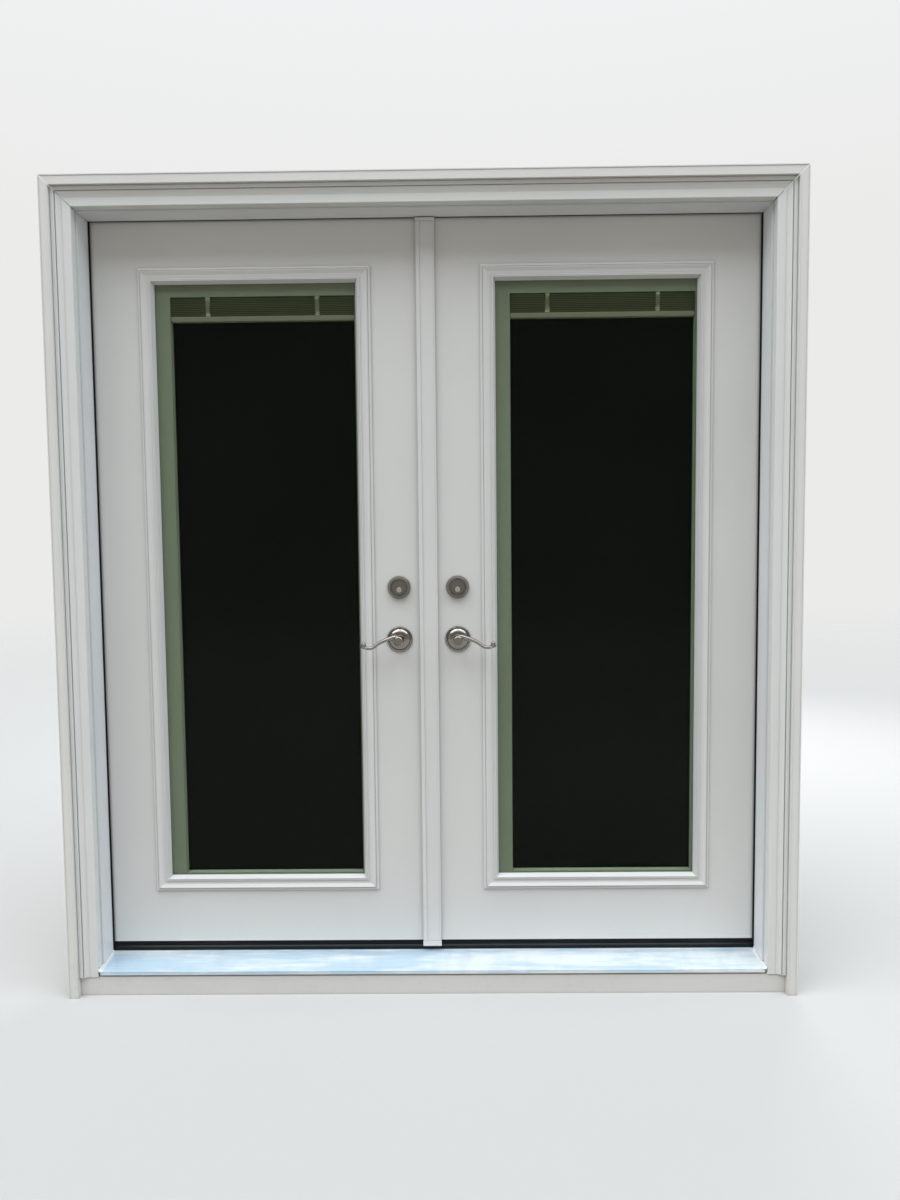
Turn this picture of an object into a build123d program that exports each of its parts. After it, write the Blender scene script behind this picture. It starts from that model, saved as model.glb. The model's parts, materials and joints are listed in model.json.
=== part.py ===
"""A pair of inswing french doors in their frame, with blinds sealed between the panes.

Millimetres. X runs to the right as seen from outside, Y into the room and Z up. X is 0 midway between
the leaves, Y is 0 at the outside face of the slabs, and Z is 0 at the underside of the sill. side is -1 for
the left leaf and 1 for the right one.
"""

from build123d import *

import os

# Slabs and the gaps round them
slab_width = 905.0
slab_height = 2005.0
slab_thickness = 44.5
slab_bottom = 57.0
meeting_gap = 22.0
hinge_gap = 3.0
head_gap = 3.0

# Jambs
jamb_depth = 116.0
jamb_back = 19.05
rabbet_depth = 11.0
seal_space = 6.0
kerf_width = 3.0
kerf_depth = 8.0
kerf_inset = 5.0
seal_bulb = 4.4
seal_lip_side = 5.0
seal_lip_head = 1.5
seal_foot = 1.2
seal_clearance = 0.5
barb_clearance = 0.3

# Casing and the channel round it
casing_reveal = 5.0
casing_width = 50.8
casing_thickness = 33.0
casing_flat = 22.0
casing_flat_thickness = 27.0
casing_flat_step = 1.2
casing_band = 11.3
casing_quirk = 2.5
casing_quirk_depth = 4.0
casing_edge = 1.5
casing_relief_width = 2.0
casing_relief_depth = 1.5
casing_foot = 1.5
channel_face = 25.0
channel_depth = 42.0
channel_sheet = 1.2
channel_bead = 2.5
channel_hem = 4.8
channel_foot = -51.0
mitre_joint = 0.9
channel_joint = 1.2

# Sill
deck_front = -99.0
deck_front_z = 16.0
deck_back = -1.2
deck_back_z = 30.0
deck_sheet = 2.2
lip_edge = 1.6
lip_groove = 2.4
lip_height = 9.0
nose_setback = 4.0
nose_foot = 1.5
cap_base = 24.0
cap_top = 43.0
cap_rib_count = 4
cap_rib_pitch = 8.0
cap_rib_width = 2.0
cap_rib_depth = 1.2
cap_shoulder = 3.0
cap_fall = 7.0
core_hole_depth = 4.0
kick_thickness = 24.0
kick_gap = 0.3

# Lites
lite_width = 631.0
lite_height = 1725.0
lite_bottom = 205.0
lite_moulding = 42.0
lite_rebate = 8.0
lite_lap = 28.0
lite_skirt = 1.0
glass_bite = 10.0
pane_thickness = 3.2
track_width = 40.0
plain_band = 3.5
foot_band = 4.0
header_height = 32.0
spacer_wall = 6.0

# Blinds
slat_count = 52
slat_pitch = 0.98
slat_thickness = 0.5
slat_depth = 15.0
slat_crown = 0.5
rail_height = 14.0
rail_depth = 16.0
blind_side_gap = 1.5
blind_foot_gap = 3.0
rail_round = 2.0
tape_width = 5.0
tape_thickness = 0.5
tape_gap = 0.1
tape_inset = 96.0
slider_width = 24.0
slider_height = 60.0
slider_thickness = 10.0
slider_corner = 5.0
slider_bevel = 1.2
slider_rib = 4.0
slider_rib_height = 3.0
slider_rib_inset = 3.0
slider_foot = 20.0
slider_gap = 0.3

# Hinges
hinge_height = 101.6
hinge_plate = 2.2
hinge_plate_width = 36.0
barrel_radius = 6.0
pin_radius = 3.15
pin_clearance = 0.05
knuckle_count = 5
knuckle_gap = 0.3
knuckle_root = 1.0
pin_head_radius = 4.6
pin_head_height = 3.0
hinge_from_top = 229.0
hinge_from_bottom = 330.0

# Locks
lock_backset = 69.85
lever_height = 915.0
lock_spacing = 144.0
lock_bore_radius = 27.0
edge_bore_radius = 12.2
case_radius = 12.0
case_bore_radius = 10.7
rose_radius = 35.3
rose_rim = 29.0
rose_height = 11.0
lever_neck_radius = 10.0
lever_hub_radius = 12.5
lever_reach = 62.0
lever_bar_depth = 14.0
lever_bar_height = 11.4
lever_depth_taper = 0.2
lever_height_taper = 0.23
lever_tip = 6.156
lever_dish = 1.3
keyway_width = 1.4
keyway_depth = 2.0
turning_clearance = 0.2
spindle_width = 8.0
deadbolt_radius = 31.6
deadbolt_stand = 15.0
deadbolt_face_radius = 22.0
deadbolt_face_depth = 6.0
plug_face_depth = 3.5
plug_radius = 7.0
plug_drop = 6.3
plug_tail_radius = 3.0
plug_tail_length = 8.0
plug_keyway_width = 1.6
plug_keyway_depth = 5.0
plate_width = 25.4
plate_height = 57.0
plate_thickness = 2.4
bolt_clearance = 0.3
latch_throw = 12.5
latch_height = 17.0
latch_width = 11.0
latch_length = 30.0
latch_tail_radius = 4.5
deadbolt_throw = 25.0
deadbolt_bolt_height = 16.4
deadbolt_bolt_width = 13.0
deadbolt_bolt_length = 50.0
deadbolt_bolt_round = 1.5
thumbturn_radius = 6.0
thumbturn_length = 30.0
thumbturn_thickness = 8.0
thumbturn_height = 20.0
thumbturn_wing_foot = 9.0
thumbturn_wing_taper = 6
thumbturn_boss = 2.0
thumbturn_lap = 4.0
thumbturn_tail_width = 2.0
thumbturn_tail_height = 8.0
thumbturn_tail_reach = 6.0

# Astragal and its flush bolts
astragal_gap = 4.0
flange_left = 24.0
flange_right = 26.0
flange_back = -8.0
flange_front = -11.0
flange_ridge = 2.0
flange_top_gap = 3.0
astragal_foot = 45.0
end_cap_height = 13.0
end_cap_top = 8.0
end_cap_proud = 0.8
astragal_seal_width = 7.0
astragal_seal_height = 3.0
strike_thickness = 1.6
strike_half_width = 14.0
pocket_clearance = 3.0
pocket_relief = 2.4
latch_pocket_margin = 1.3
rod_radius = 4.0
rod_clearance = 0.2
rod_length = 250.0
rod_offset = 2.0
rod_depth = 6.0
rod_recess = 1.5
rod_travel = 19.0
rod_button_length = 20.0
rod_button_width = 5.4
rod_hole_radius = 5.2
rod_end_room = 2.0
rod_side_room = 1.0
rod_button_setback = 0.5
bolt_plate_half = 20.0
bolt_plate_front = 6.5
bolt_plate_back = 9.0

# Sweep
sweep_depth = 38.0
sweep_base = 5.0
sweep_fin = 2.0
sweep_fin_count = 4
sweep_clearance = 0.4
sweep_end_gap = 1.0

# How far a cut runs past the face that it starts from
cut_margin = 1.0

# Places that follow from the sizes above
slab_edge = meeting_gap / 2
slab_hinge_edge = slab_edge + slab_width
slab_top = slab_bottom + slab_height
slab_middle = slab_thickness / 2
rabbet_x = slab_hinge_edge + hinge_gap
rabbet_z = slab_top + head_gap
stop_x = rabbet_x - rabbet_depth
stop_z = rabbet_z - rabbet_depth
kerf_near = kerf_inset
kerf_far = kerf_inset + kerf_width
jamb_outer_x = rabbet_x + jamb_back
jamb_outer_z = rabbet_z + jamb_back
jamb_front = slab_thickness - jamb_depth
casing_x = stop_x + casing_reveal
casing_z = stop_z + casing_reveal
casing_outer_x = casing_x + casing_width
casing_outer_z = casing_z + casing_width
lip_foot = deck_front_z - lip_height
nose_front = deck_front + nose_setback
kick_top = nose_foot - kick_gap
lite_x = slab_edge + slab_width / 2
lite_z = lite_bottom + lite_height / 2
sight_width = lite_width - 2 * lite_moulding
sight_height = lite_height - 2 * lite_moulding
sight_bottom = lite_z - sight_height / 2
sight_top = lite_z + sight_height / 2
glass_width = sight_width + 2 * glass_bite
glass_height = sight_height + 2 * glass_bite
gap_front = lite_rebate + pane_thickness
gap_back = slab_thickness - gap_front
header_z = sight_top - header_height
slats_bottom = header_z - slat_count * slat_pitch - slat_crown
rail_bottom = slats_bottom - rail_height
blind_travel = rail_bottom - (sight_bottom + foot_band) - blind_foot_gap
pivot_x = slab_hinge_edge + hinge_gap / 2
pivot_y = slab_thickness + barrel_radius
hinge_heights = (
    slab_bottom + hinge_from_bottom,
    slab_bottom + slab_height / 2,
    slab_top - hinge_from_top,
)
lock_x = slab_edge + lock_backset
deadbolt_height = lever_height + lock_spacing
latch_pocket_y = latch_width / 2 + pocket_clearance
latch_pocket_z = latch_height / 2 + latch_pocket_margin
bolt_pocket_y = deadbolt_bolt_width / 2 + bolt_clearance
bolt_pocket_z = deadbolt_bolt_height / 2 + bolt_clearance
astragal_face = slab_edge - astragal_gap
flange_top = stop_z - flange_top_gap

os.makedirs("parts", exist_ok=True)


def save(part, name):
    """Labels a finished piece and writes it."""
    part.label = name
    export_step(part, f"parts/{name}.step")


def block(x_ends, y_ends, z_ends, mode=Mode.ADD):
    """A box between three pairs of limits, in any order."""
    ends = [sorted(pair) for pair in (x_ends, y_ends, z_ends)]
    with Locations(tuple((low + high) / 2 for low, high in ends)):
        Box(*(high - low for low, high in ends), mode=mode)


def along_x(outline, half_length, mode=Mode.ADD):
    """A bar along X whose section has the corners (y, z) of outline."""
    with BuildSketch(Plane.YZ) as section:
        with BuildLine():
            Polyline(*outline, close=True)
        make_face()
    extrude(section.sketch, amount=half_length, both=True, mode=mode)


def turned(centre, outline, outward=-1, mode=Mode.ADD):
    """A round form about an axis along Y; outline has (radius, height) corners, with height outward."""
    with BuildSketch(Plane(origin=centre, x_dir=(1, 0, 0), z_dir=(0, 0, outward))) as section:
        with BuildLine():
            Polyline(*outline, close=True)
        make_face()
    revolve(section.sketch, axis=Axis(centre, (0, 1, 0)), mode=mode)


def side_jamb(side):
    """A rabbeted jamb with a kerf for the weatherstrip and a mortise for each hinge."""
    section = (
        (stop_x, jamb_front),
        (jamb_outer_x, jamb_front),
        (jamb_outer_x, slab_thickness),
        (rabbet_x, slab_thickness),
        (rabbet_x, -seal_space),
        (stop_x + kerf_far, -seal_space),
        (stop_x + kerf_far, -seal_space - kerf_depth),
        (stop_x + kerf_near, -seal_space - kerf_depth),
        (stop_x + kerf_near, -seal_space),
        (stop_x, -seal_space),
    )
    with BuildPart() as jamb:
        with BuildSketch(Plane.XY):
            with BuildLine():
                Polyline(*((side * x, y) for x, y in section), close=True)
            make_face()
        extrude(amount=rabbet_z)
        block(
            (side * rabbet_x, side * jamb_outer_x),
            (jamb_front, slab_thickness),
            (rabbet_z, jamb_outer_z),
        )
        for height in hinge_heights:
            block(
                (side * rabbet_x, side * (rabbet_x + hinge_plate)),
                (slab_thickness - hinge_plate_width, slab_thickness),
                (height - hinge_height / 2, height + hinge_height / 2),
                Mode.SUBTRACT,
            )
    return jamb.part


def head_jamb():
    """The head jamb, between the side jambs, with the hole for the top flush bolt and its plate."""
    with BuildPart() as head:
        block((-rabbet_x, rabbet_x), (jamb_front, slab_thickness), (rabbet_z, jamb_outer_z))
        block((-stop_x, stop_x), (jamb_front, -seal_space), (stop_z, rabbet_z))
        block(
            (-stop_x, stop_x),
            (-seal_space, -seal_space - kerf_depth),
            (stop_z + kerf_near, stop_z + kerf_far),
            Mode.SUBTRACT,
        )
        bolt_plate_recess(rabbet_z, rabbet_z + strike_thickness)
        with Locations((rod_offset, rod_depth, rabbet_z)):
            Cylinder(rod_hole_radius, 2 * rod_travel - 2 * head_gap, mode=Mode.SUBTRACT)
    return head.part


def bolt_plate_recess(low, high, mode=Mode.SUBTRACT):
    """The rectangle of a flush bolt's plate, between two heights."""
    block(
        (rod_offset - bolt_plate_half, rod_offset + bolt_plate_half),
        (rod_depth - bolt_plate_front, rod_depth + bolt_plate_back),
        (low, high),
        mode,
    )


def bolt_strikes():
    """The plates that the flush bolts enter, in the head jamb and in the threshold cap."""
    with BuildPart() as plates:
        bolt_plate_recess(rabbet_z, rabbet_z + strike_thickness, Mode.ADD)
        bolt_plate_recess(cap_top - strike_thickness, cap_top, Mode.ADD)
        with Locations((rod_offset, rod_depth, rabbet_z), (rod_offset, rod_depth, cap_top)):
            Cylinder(rod_hole_radius, 4 * strike_thickness, mode=Mode.SUBTRACT)
    return plates.part


def casing_section(place):
    """The moulded casing's outline.

    place turns a distance from the opening and a height into sketch points. A flat runs next to the opening,
    then a cove rises to the quirk, and a square band stands at the outer edge. A groove in the back keeps
    the part that meets the wall apart from the part that lies on the jamb.
    """
    band = casing_width - casing_band
    quirk = band - casing_quirk
    cove_top = casing_thickness - casing_edge
    cove_foot = casing_flat_thickness - casing_flat_step
    seat = jamb_outer_x - casing_x
    with BuildLine() as outline:
        Polyline(
            place(quirk, cove_top),
            place(quirk, casing_thickness - casing_quirk_depth),
            place(band, casing_thickness - casing_quirk_depth),
            place(band, casing_thickness),
            place(casing_width - casing_edge, casing_thickness),
            place(casing_width, casing_thickness - casing_edge),
            place(casing_width, 0),
            place(seat + casing_relief_width, 0),
            place(seat + casing_relief_width, casing_relief_depth),
            place(seat, casing_relief_depth),
            place(seat, 0),
            place(0, 0),
            place(0, casing_flat_thickness - casing_edge),
            place(casing_edge, casing_flat_thickness),
            place(casing_flat, casing_flat_thickness),
            place(casing_flat, cove_foot),
        )
        ThreePointArc(
            place(casing_flat, cove_foot),
            place((casing_flat + quirk) / 2, (cove_foot + cove_top) / 2 - casing_flat_step),
            place(quirk, cove_top),
        )
    make_face(outline.edges())


def mitre(side, inner_x, inner_z, joint, keep_leg):
    """Cuts the part in hand at 45 degrees through an inner corner, and leaves half of the joint."""
    shift = joint if keep_leg else -joint
    split(
        bisect_by=Plane(origin=(side * (inner_x + shift), 0, inner_z), z_dir=(side, 0, -1)),
        keep=Keep.TOP if keep_leg else Keep.BOTTOM,
    )


def casing_leg(side):
    with BuildPart() as leg:
        with BuildSketch(Plane.XY.offset(casing_foot)):
            casing_section(lambda out, height: (side * (casing_x + out), jamb_front - height))
        extrude(amount=casing_outer_z - casing_foot)
        mitre(side, casing_x, casing_z, mitre_joint, True)
    return leg.part


def casing_head():
    with BuildPart() as head:
        with BuildSketch(Plane.YZ):
            casing_section(lambda out, height: (jamb_front - height, casing_z + out))
        extrude(amount=casing_outer_x, both=True)
        for side in (-1, 1):
            mitre(side, casing_x, casing_z, mitre_joint, False)
    return head.part


def channel_section(place):
    """The folded channel: a nailing leg behind, a web against the casing and a face with two beads."""
    with BuildLine() as outline:
        Polyline(
            place(0, 0),
            place(channel_face, 0),
            place(channel_face, channel_sheet),
            place(channel_sheet, channel_sheet),
            place(channel_sheet, channel_depth - channel_sheet),
            place(channel_face - channel_sheet, channel_depth - channel_sheet),
            place(channel_face - channel_sheet, channel_depth - channel_hem),
            place(channel_face, channel_depth - channel_hem),
            place(channel_face, channel_depth + channel_sheet),
            place(channel_face - channel_bead, channel_depth + channel_sheet),
            place(channel_face - channel_bead, channel_depth),
            place(channel_bead, channel_depth),
            place(channel_bead, channel_depth + channel_sheet),
            place(0, channel_depth + channel_sheet),
            close=True,
        )
    make_face(outline.edges())


def channel_leg(side):
    with BuildPart() as leg:
        with BuildSketch(Plane.XY.offset(channel_foot)):
            channel_section(lambda out, height: (side * (casing_outer_x + out), jamb_front - height))
        extrude(amount=casing_outer_z + channel_face - channel_foot)
        mitre(side, casing_outer_x, casing_outer_z, channel_joint, True)
    return leg.part


def channel_head():
    with BuildPart() as head:
        with BuildSketch(Plane.YZ):
            channel_section(lambda out, height: (jamb_front - height, casing_outer_z + out))
        extrude(amount=casing_outer_x + channel_face, both=True)
        for side in (-1, 1):
            mitre(side, casing_outer_x, casing_outer_z, channel_joint, False)
    return head.part


def edge_channels():
    legs = [channel_leg(side) for side in (-1, 1)]
    head = channel_head()
    with BuildPart() as channels:
        add([*legs, head])
    return channels.part


def notch_round_stops():
    """Clears a sill piece from the jamb stops."""
    for side in (-1, 1):
        block(
            (side * stop_x, side * (rabbet_x + cut_margin)),
            (deck_front - cut_margin, -seal_space),
            (-cut_margin, cap_top),
            Mode.SUBTRACT,
        )


def sill_deck():
    """The sloped deck, with a short lip at its nose that has one groove along it."""
    groove_top = deck_front_z - lip_edge
    groove_foot = groove_top - lip_groove
    groove_back = deck_front + deck_sheet / 2
    with BuildPart() as deck:
        along_x(
            (
                (deck_front, deck_front_z),
                (deck_back, deck_back_z),
                (deck_back, deck_back_z - deck_sheet),
                (deck_front + deck_sheet, deck_front_z - deck_sheet),
                (deck_front + deck_sheet, lip_foot),
                (deck_front, lip_foot),
                (deck_front, groove_foot),
                (groove_back, groove_foot),
                (groove_back, groove_top),
                (deck_front, groove_top),
            ),
            rabbet_x,
        )
        notch_round_stops()
    return deck.part


def sill_core():
    """The core that carries the deck and the threshold cap; under the lip its nose is set back."""
    with BuildPart() as core:
        along_x(
            (
                (jamb_front, 0),
                (slab_thickness, 0),
                (slab_thickness, cap_base),
                (deck_back, cap_base),
                (deck_back, deck_back_z - deck_sheet),
                (deck_front + deck_sheet, deck_front_z - deck_sheet),
                (deck_front + deck_sheet, lip_foot),
                (nose_front, lip_foot),
                (nose_front, nose_foot),
                (jamb_front, nose_foot),
            ),
            rabbet_x,
        )
        notch_round_stops()
        with Locations((rod_offset, rod_depth, cap_base)):
            Cylinder(rod_hole_radius, 2 * core_hole_depth, mode=Mode.SUBTRACT)
    return core.part


def threshold_cap():
    """The ribbed cap under the leaves, with the hole for the bottom flush bolt and its plate."""
    first_rib = slab_middle - (cap_rib_count - 1) * cap_rib_pitch / 2 + cap_rib_pitch / 4
    with BuildPart() as cap:
        along_x(
            (
                (deck_back, cap_base),
                (slab_thickness, cap_base),
                (slab_thickness, cap_top - cap_fall),
                (slab_thickness - cap_fall, cap_top),
                (deck_back + cap_shoulder, cap_top),
                (deck_back, cap_top - cap_shoulder),
            ),
            rabbet_x,
        )
        for rib in range(cap_rib_count):
            middle = first_rib + rib * cap_rib_pitch
            block(
                (-rabbet_x, rabbet_x),
                (middle - cap_rib_width / 2, middle + cap_rib_width / 2),
                (cap_top - cap_rib_depth, cap_top),
                Mode.SUBTRACT,
            )
        bolt_plate_recess(cap_top - strike_thickness, cap_top)
        with Locations((rod_offset, rod_depth, cap_top)):
            Cylinder(rod_hole_radius, 4 * cap_top, mode=Mode.SUBTRACT)
    return cap.part


def kick_board():
    with BuildPart() as board:
        block(
            (-casing_outer_x, casing_outer_x),
            (jamb_front - kick_thickness, jamb_front),
            (channel_foot, kick_top),
        )
    return board.part


def seal_section(place, lip):
    """A weatherstrip: a foot with a barb in the kerf, and a bulb that runs past the stop's corner by lip."""
    kerf_middle = (kerf_near + kerf_far) / 2
    barb = kerf_width / 2 - barb_clearance
    reach = kerf_depth - barb_clearance
    end = rabbet_depth - barb_clearance
    bulb_end = kerf_middle + seal_bulb / 2
    with BuildLine() as outline:
        Polyline(
            place(bulb_end, seal_foot),
            place(end, seal_foot),
            place(end, 0),
            place(kerf_middle + barb, 0),
            place(kerf_middle + barb, -reach),
            place(kerf_middle - barb, -reach),
            place(kerf_middle - barb, 0),
            place(-lip, 0),
            place(-lip, seal_foot),
        )
        ThreePointArc(
            place(-lip, seal_foot),
            place((bulb_end - lip) / 2, seal_space - seal_clearance),
            place(bulb_end, seal_foot),
        )
    make_face(outline.edges())


def frame_seals():
    """The weatherstrips of the two jambs, and between them that of the head."""
    with BuildPart() as seals:
        for side in (-1, 1):
            with BuildSketch(Plane.XY.offset(cap_top + seal_clearance)):
                seal_section(
                    lambda across, out: (side * (stop_x + across), out - seal_space),
                    seal_lip_side,
                )
            extrude(amount=rabbet_z - cap_top - 2 * seal_clearance)
        with BuildSketch(Plane.YZ):
            seal_section(lambda across, out: (out - seal_space, stop_z + across), seal_lip_head)
        extrude(amount=stop_x - seal_lip_side - seal_clearance, both=True)
    return seals.part


def hinge_half(side, on_frame):
    """Three hinge leaves of one side: flat plates with alternate knuckles, on the jamb or on the slab."""
    plate_near = rabbet_x if on_frame else slab_hinge_edge - hinge_plate
    plate_ends = (side * plate_near, side * (plate_near + hinge_plate))
    knuckle = hinge_height / knuckle_count
    first = 0 if on_frame else 1
    axis_x = side * pivot_x
    with BuildPart() as leaves:
        for height in hinge_heights:
            foot = height - hinge_height / 2
            block(
                plate_ends,
                (slab_thickness - hinge_plate_width, slab_thickness - knuckle_gap),
                (foot, foot + hinge_height),
            )
            for index in range(first, knuckle_count, 2):
                low = foot + index * knuckle + knuckle_gap / 2
                high = foot + (index + 1) * knuckle - knuckle_gap / 2
                block(plate_ends, (slab_thickness - knuckle_root, pivot_y), (low, high))
                with Locations((axis_x, pivot_y, (low + high) / 2)):
                    Cylinder(barrel_radius, high - low)
        with Locations(*((axis_x, pivot_y, height) for height in hinge_heights)):
            Cylinder(pin_radius + pin_clearance, 2 * hinge_height, mode=Mode.SUBTRACT)
    return leaves.part


def hinge_frame_leaves():
    halves = [hinge_half(side, True) for side in (-1, 1)]
    with BuildPart() as leaves:
        add(halves)
    return leaves.part


def hinge_pins():
    """Six loose pins, each with a head that rests on the top knuckle."""
    with BuildPart() as pins:
        for side in (-1, 1):
            for height in hinge_heights:
                top = height + hinge_height / 2
                with Locations((side * pivot_x, pivot_y, height)):
                    Cylinder(pin_radius, hinge_height)
                with Locations((side * pivot_x, pivot_y, top + pin_head_height / 2)):
                    Cylinder(pin_head_radius, pin_head_height)
    return pins.part


def slab(side):
    """The slab, with its lite opening, lock bores, and recesses for hinges and edge plates."""
    opening = (lite_width - 2 * lite_lap, lite_height - 2 * lite_lap)
    pocket_y = bolt_pocket_y + pocket_relief
    pocket_z = bolt_pocket_z + pocket_relief
    with BuildPart() as door:
        with BuildSketch(Plane.XZ):
            with Locations((side * lite_x, slab_bottom + slab_height / 2)):
                Rectangle(slab_width, slab_height)
            with Locations((side * lite_x, lite_z)):
                Rectangle(*opening, mode=Mode.SUBTRACT)
            with Locations((side * lock_x, lever_height), (side * lock_x, deadbolt_height)):
                Circle(lock_bore_radius, mode=Mode.SUBTRACT)
        extrude(amount=-slab_thickness)
        for height in hinge_heights:
            block(
                (side * slab_hinge_edge, side * (slab_hinge_edge - hinge_plate)),
                (slab_thickness - hinge_plate_width, slab_thickness),
                (height - hinge_height / 2, height + hinge_height / 2),
                Mode.SUBTRACT,
            )
        if side < 0:
            for height in (lever_height, deadbolt_height):
                edge_plate_form(height, edge_bore_radius, -lock_x, Mode.SUBTRACT)
        else:
            block(
                (slab_edge, slab_edge + deadbolt_throw - meeting_gap + pocket_relief),
                (slab_middle - pocket_y, slab_middle + pocket_y),
                (deadbolt_height - pocket_z, deadbolt_height + pocket_z),
                Mode.SUBTRACT,
            )
    return door.part


def edge_plate_form(height, tube_radius, case_end, mode=Mode.ADD):
    """A faceplate flush with the left slab's edge, and the round form of the case behind it."""
    block(
        (-slab_edge, -slab_edge - plate_thickness),
        (slab_middle - plate_width / 2, slab_middle + plate_width / 2),
        (height - plate_height / 2, height + plate_height / 2),
        mode,
    )
    with BuildSketch(Plane.YZ.offset(case_end)) as case:
        with Locations((slab_middle, height)):
            Circle(tube_radius)
    extrude(case.sketch, amount=-slab_edge - plate_thickness - case_end, mode=mode)


def edge_plates():
    """The faceplates of the latch and the deadbolt, each in one piece with its bolt's case."""
    case_end = -lock_x + lock_bore_radius
    bolts = (
        (lever_height, latch_width, latch_height),
        (deadbolt_height, deadbolt_bolt_width, deadbolt_bolt_height),
    )
    with BuildPart() as plates:
        for height, width, tall in bolts:
            edge_plate_form(height, case_radius, case_end)
            with BuildSketch(Plane.YZ.offset(case_end)):
                with Locations((slab_middle, height)):
                    Circle(case_bore_radius)
            extrude(amount=-slab_edge - plate_thickness - case_end, mode=Mode.SUBTRACT)
            block(
                (-slab_edge, -slab_edge - plate_thickness),
                (slab_middle - width / 2 - bolt_clearance, slab_middle + width / 2 + bolt_clearance),
                (height - tall / 2 - bolt_clearance, height + tall / 2 + bolt_clearance),
                Mode.SUBTRACT,
            )
    return plates.part


def latch_bolt():
    """The spring latch: its tip slopes on the side that meets the strike as the leaf closes."""
    flat = latch_throw * 0.2
    tail_end = -lock_x + spindle_width + latch_throw
    section = (
        (-slab_edge - latch_length + latch_throw, slab_middle - latch_width / 2),
        (-slab_edge + flat, slab_middle - latch_width / 2),
        (-slab_edge + latch_throw, slab_middle + latch_width / 3),
        (-slab_edge + latch_throw, slab_middle + latch_width / 2),
        (-slab_edge - latch_length + latch_throw, slab_middle + latch_width / 2),
    )
    with BuildPart() as latch:
        with BuildSketch(Plane.XY.offset(lever_height - latch_height / 2)):
            with BuildLine():
                Polyline(*section, close=True)
            make_face()
        extrude(amount=latch_height)
        with BuildSketch(Plane.YZ.offset(tail_end)):
            with Locations((slab_middle, lever_height)):
                Circle(latch_tail_radius)
        extrude(amount=-slab_edge - latch_length + latch_throw - tail_end)
    return latch.part


def deadbolt_bolt():
    """The deadbolt, drawn back flush with its faceplate."""
    with BuildPart() as bolt:
        block(
            (-slab_edge - bolt_clearance, -slab_edge - deadbolt_bolt_length),
            (slab_middle - deadbolt_bolt_width / 2, slab_middle + deadbolt_bolt_width / 2),
            (deadbolt_height - deadbolt_bolt_height / 2, deadbolt_height + deadbolt_bolt_height / 2),
        )
        tip_edges = bolt.part.faces().sort_by(Axis.X)[-1].edges()
        fillet(tip_edges.filter_by(Axis.Z), deadbolt_bolt_round)
    return bolt.part


def lite_outside(side):
    """The moulded ring that holds the glass: beads, a field and a bevel, swept round the opening.

    profile has (distance inward, height off the slab) corners, from the outer edge to the sight edge.
    """
    foot = lite_z - lite_height / 2
    skirt = lite_lap + lite_skirt
    reach = lite_width / 2
    middle = side * lite_x
    inner = lite_moulding
    profile = (
        (0, 0),
        (0, 3),
        (2, 5.2),
        (6, 6.3),
        (7.5, 5.4),
        (8.5, 8.6),
        (10.5, 10),
        (19.5, 5.6),
        (inner - 13.5, 5),
        (inner - 13, 7.4),
        (inner - 10.5, 7.8),
        (inner - 9, 7),
        (inner - 8, 8.6),
        (inner - 6.5, 8.6),
        (inner, -lite_rebate),
        (skirt, -lite_rebate),
        (skirt, 0),
    )
    with BuildPart() as ring:
        with BuildLine(Plane.XZ) as path:
            Polyline(
                (middle, foot),
                (middle + reach, foot),
                (middle + reach, foot + lite_height),
                (middle - reach, foot + lite_height),
                (middle - reach, foot),
                (middle, foot),
            )
        with BuildSketch(Plane(origin=(middle, 0, foot), x_dir=(0, 0, 1), z_dir=(1, 0, 0))):
            with BuildLine():
                Polyline(*profile, close=True)
            make_face()
        sweep(path=path.line, transition=Transition.RIGHT)
    return ring.part


def mirrored_inside(part):
    """The same piece on the room side of the slab."""
    return mirror(part, about=Plane.XZ.offset(-slab_middle))


def pane(side, near):
    with BuildPart() as glass:
        block(
            (side * lite_x - glass_width / 2, side * lite_x + glass_width / 2),
            (near, near + pane_thickness),
            (lite_z - glass_height / 2, lite_z + glass_height / 2),
        )
    return glass.part


def blind_limits(side):
    """The left and right edges of the space between the blind's track and the plain band."""
    left = side * lite_x - sight_width / 2 + track_width
    right = side * lite_x + sight_width / 2 - plain_band
    return left, right


def spacer(side):
    """The frame between the panes: a wide track on the left, a header on top, thin on the other sides."""
    left, right = blind_limits(side)
    outer = glass_bite - spacer_wall / 2
    with BuildPart() as bar:
        block(
            (side * lite_x - sight_width / 2 - outer, side * lite_x + sight_width / 2 + outer),
            (gap_front, gap_back),
            (sight_bottom - outer, sight_top + outer),
        )
        block((left, right), (gap_front, gap_back), (sight_bottom + foot_band, header_z), Mode.SUBTRACT)
    return bar.part


def blind_slats(side):
    """The drawn-up slats and, in front of and behind them, their ladder tapes."""
    left, right = blind_limits(side)
    length = right - left - 2 * blind_side_gap
    middle = (left + right) / 2
    half = slat_depth / 2
    lowest = slats_bottom + (slat_pitch - slat_thickness) / 2
    with BuildPart() as stack:
        with BuildSketch(Plane.YZ.offset(middle)):
            for index in range(slat_count):
                foot = lowest + index * slat_pitch
                with BuildLine():
                    edge = Polyline(
                        (slab_middle - half, foot),
                        (slab_middle, foot + slat_crown),
                        (slab_middle + half, foot),
                    )
                    top = Polyline(
                        (slab_middle + half, foot + slat_thickness),
                        (slab_middle, foot + slat_crown + slat_thickness),
                        (slab_middle - half, foot + slat_thickness),
                    )
                    Line(edge @ 1, top @ 0)
                    Line(top @ 1, edge @ 0)
                make_face()
        extrude(amount=length / 2, both=True)
        for place in (left + tape_inset, right - tape_inset):
            for near in (slab_middle - half - tape_gap - tape_thickness, slab_middle + half + tape_gap):
                block(
                    (place - tape_width / 2, place + tape_width / 2),
                    (near, near + tape_thickness),
                    (slats_bottom, header_z),
                )
    return stack.part


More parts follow.
